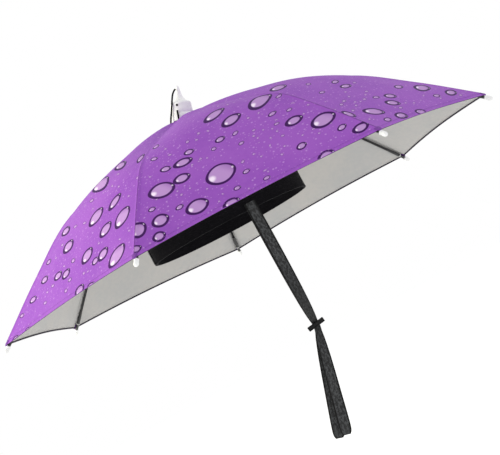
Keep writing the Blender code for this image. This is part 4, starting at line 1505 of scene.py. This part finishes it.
def dome_height(x, y):
    """Height of the dome's inner side near the top, over a point."""
    turn = (math.atan2(y, x - TOP.x) - math.radians(FIRST_RIB_DEG)) / (2 * math.pi) % 1.0 * RIB_COUNT
    gore = math.floor(turn)
    away_from_top = math.hypot(x - TOP.x, y)
    reach = away_from_top / RIM_RADIUS
    for _ in range(3):
        reach *= away_from_top / (dome_point(gore, turn - gore, reach) - TOP).xy.length
    return dome_point(gore, turn - gore, reach).z


def spire_rings():
    turns = [2 * math.pi * k / SPIRE_SIDES for k in range(SPIRE_SIDES)]
    rings = []
    for height in (-HUB_DROP + GAP, LEAN_FOOT_LIFT + GAP):
        rings.append([Vector((TOP.x + STUD_RADIUS * math.cos(a), STUD_RADIUS * math.sin(a), TOP.z + height))
                      for a in turns])
    for part in (0.55, 0.97, 1.0):
        lift = SPIRE_FOOT_LIFT + (0.0005 if part == 1.0 else 0.0)
        ring = []
        for a in turns:
            x = TOP.x + SPIRE_FOOT_RADIUS * part * math.cos(a)
            y = SPIRE_FOOT_RADIUS * part * math.sin(a)
            ring.append(Vector((x, y, dome_height(x, y) + lift)))
        rings.append(ring)
    rings += [[lean_point(height, radius, a) for a in turns] for height, radius in SPIRE_PROFILE]
    return rings


spire = add_piece("white_spire", loft_mesh("spire", spire_rings()), white_plastic, smooth_deg=50.0)
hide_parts("finial")
print("spire tip:", [round(v, 4) for v in lean_point(SPIRE_PROFILE[-1][0], 0.0, 0.0)])

# %% Cord loop, short end and knot
CORD_RADIUS = 0.0010

# (height along the lean, distance from the lean's axis, degrees round it)
LOOP_ROUTE = (
    (-0.0056, 0.0164, -148.0), (0.0010, 0.0156, -144.0), (0.0070, 0.0147, -138.0),
    (0.0126, 0.0141, -133.0), (0.0200, 0.0122, -131.0), (0.0270, 0.0096, -131.0),
    (0.0312, 0.0066, -131.0), (0.0334, 0.0040, -131.0),
)
END_HEIGHTS = (-0.0030, 0.0076)
END_DISTANCE = 0.0143
END_ANGLE_DEG = -106.0
KNOT_PLACE = (0.0136, 0.0140, -103.0)
KNOT_RADIUS = 0.0013
KNOT_CORD_RADIUS = 0.00042
KNOT_STEPS, KNOT_TURNS = 90, 5
LOOP_STEPS, END_STEPS = 60, 14
BRAID_WAIST = 0.06
BRAID_STEP = 1.3


def cord_mesh(path):
    """A round cord with a braid's slight waist at every crossing."""
    lateral = Vector((0.0, 1.0, 0.0))
    return sweep("cord", path, lateral, lambda i: ellipse(
        CORD_RADIUS * (1 + BRAID_WAIST * math.sin(i * BRAID_STEP)),
        CORD_RADIUS * (1 + BRAID_WAIST * math.cos(i * BRAID_STEP))))


def knot_mesh():
    """Five turns of cord wound into a small ball."""
    height, distance, angle = KNOT_PLACE
    centre = lean_point(height, distance, math.radians(angle))
    wound = KNOT_RADIUS - 0.00035
    path = []
    for i in range(KNOT_STEPS + 1):
        tilt = math.pi * (i / KNOT_STEPS - 0.5) * 0.92
        spin = 2 * math.pi * KNOT_TURNS * i / KNOT_STEPS
        flat_part = math.cos(tilt) * wound
        path.append(centre + Vector((
            flat_part * math.cos(spin), flat_part * math.sin(spin), wound * math.sin(tilt))))
    return sweep("knot", path, UP, ellipse(KNOT_CORD_RADIUS, KNOT_CORD_RADIUS, 8))


first, last = LOOP_ROUTE[0][0], LOOP_ROUTE[-1][0]
loop_heights = [first + (last - first) * i / LOOP_STEPS for i in range(LOOP_STEPS + 1)]
loop_places = [smooth_row(LOOP_ROUTE, h) for h in loop_heights]
loop_path = [lean_point(height, distance, math.radians(angle))
             for height, (distance, angle) in zip(loop_heights, loop_places)]
first, last = END_HEIGHTS
end_path = [lean_point(first + (last - first) * i / END_STEPS, END_DISTANCE, math.radians(END_ANGLE_DEG))
            for i in range(END_STEPS + 1)]
for name, mesh, node in (("cord_loop", cord_mesh(loop_path), "finial_loop"),
                         ("cord_end", cord_mesh(end_path), "finial_loop_end"),
                         ("cord_knot", knot_mesh(), "finial_knot")):
    cord = add_piece(name, mesh, cord_braid)
    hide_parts(node)
print("cord loop:", round(path_length(loop_path), 4), "m")

# %% [markdown]
# The headband is a ribbed elastic, 30 mm high, sewn into an oval. Its ribs run round the oval and a
# soft edge closes it above and below. At the back its two ends overlap and are zigzag stitched.

# %% Headband
BAND_LENGTH = 0.1910
BAND_WIDTH = 0.1560
BAND_HEIGHT = 0.0300
BAND_WALL = 0.0024
BAND_RIBS = 11
BAND_STEPS = 264
SOFT_EDGE = 0.0022
EDGE_SWELL = 0.92
RIB_SWELL, RIB_RELIEF = 0.72, 0.12
GATHER, GATHER_STEP = 0.05, 2.6


def band_section(step):
    """Outline of the elastic: shallow ribs on both faces and a fuller edge above and below."""
    half, points = BAND_WALL / 2, []
    rows = BAND_RIBS * 4
    for i in range(rows + 1):
        z = BAND_HEIGHT * (0.03 + 0.94 * i / rows)
        swell = RIB_SWELL + RIB_RELIEF * math.cos(2 * math.pi * BAND_RIBS * i / rows)
        near_edge = min(z, BAND_HEIGHT - z) < SOFT_EDGE
        points.append((z, half * (EDGE_SWELL if near_edge else swell)))
    gather = 1 + GATHER * math.sin(step * GATHER_STEP)
    return [(z, out * gather) for z, out in points] + [(z, -out * gather) for z, out in reversed(points)]


def band_point(angle, inset=BAND_WALL / 2):
    half_length, half_width = BAND_LENGTH / 2 - inset, BAND_WIDTH / 2 - inset
    return Vector((half_length * math.cos(angle), half_width * math.sin(angle), 0.0))


band_path = [band_point(2 * math.pi * k / BAND_STEPS) for k in range(BAND_STEPS)]
band = add_piece("elastic_headband", sweep("band", band_path, UP, band_section, closed=True),
                 band_elastic, smooth_deg=60.0)
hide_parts("headband")

# %% Overlap and zigzag at the back
LAP_HALF_ANGLE_DEG = 7.5
LAP_THICKNESS = 0.0010
LAP_STEPS = 24
ZIGZAG_TURNS = 19
ZIGZAG_SWAY = 0.0011
ZIGZAG_MARGIN = 0.0022
ZIGZAG_ANGLE_DEG = 5.0


def band_lap():
    """The outer end of the elastic, laid over the other at the back."""
    turns = [math.radians(180 + LAP_HALF_ANGLE_DEG * (2 * k / LAP_STEPS - 1)) for k in range(LAP_STEPS + 1)]
    path = [band_point(a, -LAP_THICKNESS / 2 + 0.0002) for a in turns]
    rows = BAND_RIBS * 4

    def section(step):
        edge = 0.55 if step in (0, LAP_STEPS) else 1.0
        up = [(BAND_HEIGHT * (0.035 + 0.93 * i / rows),
               edge * LAP_THICKNESS * (0.42 + 0.09 * math.cos(2 * math.pi * BAND_RIBS * i / rows)))
              for i in range(rows + 1)]
        return up + [(z, -out) for z, out in reversed(up)]

    return sweep("lap", path, UP, section)


def zigzag_stitches(angle_deg):
    points, outs = [], []
    for i in range(ZIGZAG_TURNS + 1):
        sway = ZIGZAG_SWAY * (1 if i % 2 else -1)
        angle = math.radians(180 + angle_deg) + sway / (BAND_LENGTH / 2)
        place = band_point(angle, -LAP_THICKNESS * 1.02)
        points.append(place + UP * (ZIGZAG_MARGIN + (BAND_HEIGHT - 2 * ZIGZAG_MARGIN) * i / ZIGZAG_TURNS))
        outs.append(Vector((place.x, place.y, 0.0)).normalized())
    made = []
    for i in range(ZIGZAG_TURNS):
        made += stitch_meshes(points[i:i + 2], outs[i:i + 2], 0.0019, 0.0021, 0.00022)
    return made


lap = add_piece("headband_lap", band_lap(), band_elastic, smooth_deg=60.0)
zigzags = zigzag_stitches(-ZIGZAG_ANGLE_DEG) + zigzag_stitches(ZIGZAG_ANGLE_DEG)
zigzag = add_piece("headband_stitches", joined("zigzag", zigzags), thread_black)
print("zigzag faces:", len(zigzag.data.polygons))

# %% [markdown]
# Seven tapes hang the band from the stretchers. Each is sewn inside the band, turns a quarter on its
# way up so that it can loop over its stretcher, and is stitched back on itself.

# %% Hanger tapes
HANGER_WIDTH = 0.0100
HANGER_TOP_RADIUS = 0.1020
TAPE_THICKNESS = 0.0008
SEWN_DEPTH = 0.0120
LOOP_RADIUS = 0.0019
RISE_STEPS, WRAP_STEPS, TAIL_STEPS = 14, 11, 4
TAPE_SAG = 0.0015
TURN_PART = 1.25
WRAP_TURN = 1.12
TAIL_STEP = 0.0028
TAIL_LEAN = 0.00066


def band_radius(angle):
    half_length, half_width = (BAND_LENGTH - BAND_WALL) / 2, (BAND_WIDTH - BAND_WALL) / 2
    slant = math.hypot(half_width * math.cos(angle), half_length * math.sin(angle))
    return half_length * half_width / slant


def hanger_ends(index):
    near, far = stretcher_ends(index)
    angle = rib_angle(index)
    for _ in range(4):
        radius = band_radius(angle)
        foot = Vector((radius * math.cos(angle), radius * math.sin(angle), BAND_HEIGHT + GAP))
        head = near.lerp(far, (HANGER_TOP_RADIUS - RUNNER_RADIUS) / (far.xy - near.xy).length)
        angle = math.atan2(head.y, head.x)
    return foot, head, angle, (far - near).normalized()


def tape_section(width, thickness):
    half = width / 2
    return [(-half, -0.3 * thickness), (-0.92 * half, -0.5 * thickness), (-0.3 * half, -0.45 * thickness),
            (0.3 * half, -0.45 * thickness), (0.92 * half, -0.5 * thickness), (half, -0.3 * thickness),
            (half, 0.3 * thickness), (0.92 * half, 0.5 * thickness), (0.3 * half, 0.45 * thickness),
            (-0.3 * half, 0.45 * thickness), (-0.92 * half, 0.5 * thickness), (-half, 0.3 * thickness)]


def hanger(index):
    foot, head, angle, rod_way = hanger_ends(index)
    tangent = Vector((-math.sin(angle), math.cos(angle), 0.0))
    outward = Vector((math.cos(angle), math.sin(angle), 0.0))
    inside = foot - outward * (BAND_WALL / 2 + TAPE_THICKNESS * 0.7)
    path = [inside - UP * SEWN_DEPTH, inside - UP * SEWN_DEPTH / 2, inside]
    sides = [tangent, tangent, tangent]
    rising = (head - foot).normalized()
    across = rod_way.cross(rising).normalized()
    top = head - rising * LOOP_RADIUS * 1.4
    turned = rod_way if tangent.cross(rod_way).z > 0 else -rod_way
    for i in range(1, RISE_STEPS + 1):
        share = i / RISE_STEPS
        sag = outward * TAPE_SAG * math.sin(math.pi * share)
        turn = min(1.0, share * TURN_PART)
        side = tangent.lerp(turned, turn * turn * (3 - 2 * turn))
        start = inside.lerp(foot, min(1.0, share * 4))
        path.append(start.lerp(top - across * LOOP_RADIUS * 0.9 * share, share) + sag)
        sides.append(side.normalized())
    last_side = sides[-1]
    for i in range(1, WRAP_STEPS + 1):
        swing = math.pi * WRAP_TURN * i / WRAP_STEPS
        path.append(head - across * LOOP_RADIUS * math.cos(swing) + rising * LOOP_RADIUS * math.sin(swing))
        sides.append(last_side)
    for i in range(1, TAIL_STEPS + 1):
        place = head + across * (LOOP_RADIUS * 0.9 - TAIL_LEAN * i / TAIL_STEPS)
        path.append(place - rising * TAIL_STEP * i)
        sides.append(last_side)
    mesh = sweep("hanger", path, lambda i: sides[i], tape_section(HANGER_WIDTH, TAPE_THICKNESS))
    return mesh, path_length(path)


for index in range(RIB_COUNT):
    mesh, length = hanger(index)
    tape = add_piece(f"hanger_tape_{index + 1}", mesh, tape_twill, smooth_deg=60.0)
    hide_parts(f"hanger_{index + 1}")
print("hanger tape length:", round(length, 4), "m")

# %% [markdown]
# The strap is one flat webbing on each side. It is sewn outside the band's lower edge, comes in to
# the middle, is squeezed narrow to pass the slider, and opens again to two loose ends that lie side
# by side. Listed stations give its route, because it hangs in a free curve that no rule gives.

# %% Strap route
STRAP_X = 0.0300
STRAP_WALL = 0.0012
SLIDER_X = 0.0322
SLIDER_Z = -0.1415
STRAP_END_X = 0.0004
STRAP_END_Z = -0.2655
STRAP_END_FAN = 0.0046

# (height, distance from the middle plane, width), from the band down to the slider
STRAP_ROUTE = (
    (0.0080, 0.0758, 0.0130), (-0.0010, 0.0757, 0.0130), (-0.0300, 0.0745, 0.0130),
    (-0.0600, 0.0690, 0.0130), (-0.0900, 0.0560, 0.0125), (-0.1120, 0.0385, 0.0115),
    (-0.1270, 0.0205, 0.0100), (-0.1345, 0.0090, 0.0085), (-0.1375, 0.0050, 0.0078),
    (-0.1392, 0.0042, 0.0075), (-0.1450, 0.0042, 0.0075),
)

# (part of the loose end, width, share of the fan, distance from the middle plane)
STRAP_END_ROUTE = (
    (0.04, 0.0078, 0.00, 0.0041), (0.12, 0.0102, 0.05, 0.0036), (0.30, 0.0120, 0.28, 0.0030),
    (0.60, 0.0130, 0.60, 0.0026), (0.90, 0.0134, 0.92, 0.0024), (0.97, 0.0122, 0.98, 0.0024),
    (1.00, 0.0084, 1.00, 0.0024),
)
STEPS_TO_ROW = 7
LOOSE_STEPS = 42
TURNED_ABOVE = -0.03


def strap_stations(side_sign):
    """Centres, width directions and widths from the band through the slider to the loose end."""
    rows = STRAP_ROUTE[::-1]
    stations = []
    top, bottom = STRAP_ROUTE[0][0], STRAP_ROUTE[-1][0]
    for i in range(len(STRAP_ROUTE) - 1):
        for step in range(STEPS_TO_ROW):
            share = step / STEPS_TO_ROW
            z = STRAP_ROUTE[i][0] * (1 - share) + STRAP_ROUTE[i + 1][0] * share
            distance, width = smooth_row(rows, z)
            x = STRAP_X + (SLIDER_X - STRAP_X) * (top - z) / (top - bottom)
            turn = max(0.0, min(1.0, (z - TURNED_ABOVE) / (top - TURNED_ABOVE)))
            slope = -side_sign * turn * BAND_WIDTH / BAND_LENGTH * STRAP_X / (BAND_LENGTH / 2)
            stations.append((Vector((x, side_sign * distance, z)), Vector((1.0, slope, 0.0)), width))
    first_share = STRAP_END_ROUTE[0][0]
    for i in range(LOOSE_STEPS + 1):
        share = first_share + (1 - first_share) * i / LOOSE_STEPS
        width, fan, distance = smooth_row(STRAP_END_ROUTE, share)
        x = SLIDER_X + (STRAP_END_X - SLIDER_X) * share - side_sign * STRAP_END_FAN * fan
        z = bottom + (STRAP_END_Z - bottom) * share
        stations.append((Vector((x, side_sign * distance, z)), Vector((1.0, 0.0, 0.0)), width))
    return stations


for sign in (-1.0, 1.0):
    print("strap length:", round(path_length([station[0] for station in strap_stations(sign)]), 4), "m")

# %% Chin straps
STRAP_RIDGES = 6

# Painted shade on the strap, darkest at and above the slider: (height over the slider, share of painted
# shade)
PAINTED_SHADE_ROWS = (
    (-0.130, 0.30), (-0.060, 0.20), (-0.020, 0.40), (0.0, 0.85), (0.045, 0.80), (0.085, 0.15), (0.160, 0.0),
)


def edge_shares(mesh, section_points):
    """Stores how near each point of a webbing is to its edge, from 0 in the middle to 1."""
    half = section_points // 2
    shares = [abs(2 * i / (half - 1) - 1) for i in range(half)]
    ring = shares + shares[::-1]
    values = np.tile(ring, len(mesh.vertices) // section_points)
    mesh.attributes.new("edge", "FLOAT", "POINT").data.foreach_set("value", values)


def painted_shade_shares(mesh):
    """Stores how much painted shade darkens each place of the strap, most at and just above the slider."""
    heights = [vertex.co.z - SLIDER_Z for vertex in mesh.vertices]
    values = [smooth_row(PAINTED_SHADE_ROWS, min(max(height, PAINTED_SHADE_ROWS[0][0]), PAINTED_SHADE_ROWS[-1][0]))[0]
              for height in heights]
    mesh.attributes.new("handled", "FLOAT", "POINT").data.foreach_set("value", values)


def strap_section(width, step):
    """A flat webbing with shallow lengthwise ridges, rounded edges and a slight cup."""
    half, thick = width / 2, STRAP_WALL / 2 * 0.88
    count = STRAP_RIDGES * 4
    top = []
    for i in range(count + 1):
        share = 2 * i / count - 1
        edge = 0.55 if i in (0, count) else 1.0
        ridge = 1 + 0.12 * math.cos(2 * math.pi * STRAP_RIDGES * i / count)
        top.append((half * share, thick * 0.85 * edge * ridge))
    wander = 0.00012 * math.sin(step * 0.9)
    return [(x, y + wander) for x, y in top] + [(x, -y + wander) for x, y in reversed(top)]


for name, sign, node in (("right", -1.0, "chin_strap_right"), ("left", 1.0, "chin_strap_left")):
    stations = strap_stations(sign)
    path = [station[0] for station in stations]
    length = path_length(path)
    mesh = sweep("strap", path, lambda i: stations[i][1], lambda i: strap_section(stations[i][2], i))
    edge_shares(mesh, 2 * (STRAP_RIDGES * 4 + 1))
    # Painted shade on the strap, darkest round the slider
    painted_shade_shares(mesh)
    strap = add_piece(f"strap_{name}", mesh, strap_webbing, smooth_deg=60.0)
    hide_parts(node)
print("straps:", 2)

# %% Stitches that hold the straps
STITCHED_ABOVE = -0.0006
ROW_SHARE = 0.36
STITCH_SEAT = 0.42


def strap_box(side_sign):
    """Two rows of stitches and a cross row through the strap's top, over the band's edge."""
    stations = [s for s in strap_stations(side_sign) if s[0].z > STITCHED_ABOVE]
    out = Vector((0.0, side_sign, 0.0))
    seat = out * STRAP_WALL * STITCH_SEAT
    made = []
    for share in (-ROW_SHARE, ROW_SHARE):
        points = [centre + side.normalized() * width * share + seat for centre, side, width in stations]
        made += stitch_meshes(points, [out] * len(points))
    for centre, side, width in (stations[1], stations[-2]):
        side = side.normalized()
        points = [centre + side * width * share + seat for share in (-ROW_SHARE, 0.0, ROW_SHARE)]
        made += stitch_meshes(points, [out] * 3)
    return made


for name, sign in (("right", -1.0), ("left", 1.0)):
    box = add_piece(f"strap_stitches_{name}", joined("box", strap_box(sign)), thread_black)
print("stitch boxes: 2")

# %% [markdown]
# The slider is a flat black moulding with a slot for each side of the strap and a bar between them.
# It is built as a grid of faces with two holes, given thickness, and its edges are rounded. Its two
# long walls are sunk a little between raised lips, which catch the light as thin lines.

# %% Slider
SLIDER_SIZE = (0.0210, 0.0150, 0.0054)
SLIDER_TILT_DEG = -9.0
SLOT_SIZE = (0.0148, 0.0026)
SLOT_Y = 0.0042
EDGE_ROUND = 0.0007
SHARP_ANGLE = 0.5
LIP_WIDTH = 0.0006
LIP_HEIGHT = 0.0005


def slider_mesh():
    xs = [-SLIDER_SIZE[0] / 2, -SLOT_SIZE[0] / 2, SLOT_SIZE[0] / 2, SLIDER_SIZE[0] / 2]
    half_slot = SLOT_SIZE[1] / 2
    ys = [-SLIDER_SIZE[1] / 2, -SLOT_Y - half_slot, -SLOT_Y + half_slot,
          SLOT_Y - half_slot, SLOT_Y + half_slot, SLIDER_SIZE[1] / 2]
    work = bmesh.new()
    grid = [[work.verts.new((x, y, -SLIDER_SIZE[2] / 2)) for x in xs] for y in ys]
    for j in range(5):
        for i in range(3):
            if i == 1 and j in (1, 3):
                continue
            work.faces.new((grid[j][i], grid[j][i + 1], grid[j + 1][i + 1], grid[j + 1][i]))
    grown = bmesh.ops.extrude_face_region(work, geom=work.faces[:])
    lifted = [item for item in grown["geom"] if isinstance(item, bmesh.types.BMVert)]
    bmesh.ops.translate(work, vec=(0.0, 0.0, SLIDER_SIZE[2]), verts=lifted)
    bmesh.ops.recalc_face_normals(work, faces=work.faces)
    sharp = [edge for edge in work.edges if edge.is_manifold and edge.calc_face_angle() > SHARP_ANGLE]
    bmesh.ops.bevel(work, geom=sharp, offset=EDGE_ROUND, segments=4, profile=0.5, affect="EDGES")
    for side in (-1.0, 1.0):
        wall = [face for face in work.faces if face.normal.y * side > 0.999
                and abs(face.calc_center_median().y - side * SLIDER_SIZE[1] / 2) < EDGE_ROUND / 10]
        bmesh.ops.inset_region(work, faces=wall, thickness=LIP_WIDTH, depth=-LIP_HEIGHT)
    tilt = Matrix.Rotation(math.radians(SLIDER_TILT_DEG), 4, "Y")
    work.transform(Matrix.Translation((SLIDER_X, 0.0, SLIDER_Z)) @ tilt)
    mesh = bpy.data.meshes.new("slider")
    work.to_mesh(mesh)
    work.free()
    return mesh


slider = add_piece("strap_slider", slider_mesh(), deep_plastic, smooth_deg=35.0)
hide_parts("slider")
print("slider faces:", len(slider.data.polygons))

# %% [markdown]
# The floor is a wide pale disc a little below the strap's end, lit through from below like a studio's
# light table, so that it melts into the white surround. It is part of the stage and not of the hat.

# %% Floor
FLOOR_HEIGHT = -0.315
FLOOR_RADIUS = 9.0
FLOOR_GLOW = 0.62
FLOOR_DEEP = (0.50, 0.50, 0.50)
FLOOR_PALE = (0.52, 0.52, 0.52)


def make_floor():
    work = bmesh.new()
    bmesh.ops.create_circle(work, cap_ends=True, radius=FLOOR_RADIUS, segments=96)
    bmesh.ops.translate(work, vec=(0.0, 0.0, FLOOR_HEIGHT), verts=work.verts)
    mesh = bpy.data.meshes.new("floor")
    work.to_mesh(mesh)
    work.free()
    made, tree, shader = new_material("pale_floor", Roughness=0.9, Specular_IOR_Level=0.1)
    uneven = use_group(tree, uneven_group, Size=0.8, Fine=0.2)
    put(tree, shader.inputs["Base Color"], blend_colour(tree, uneven["Tone"], FLOOR_DEEP, FLOOR_PALE))
    shader.inputs["Emission Color"].default_value = WHITE
    shader.inputs["Emission Strength"].default_value = FLOOR_GLOW
    mesh.materials.append(made)
    floor = bpy.data.objects.new("floor", mesh)
    scene.collection.objects.link(floor)


make_floor()
print("floor at", FLOOR_HEIGHT)

# %% Update the scene
bpy.context.view_layer.update()
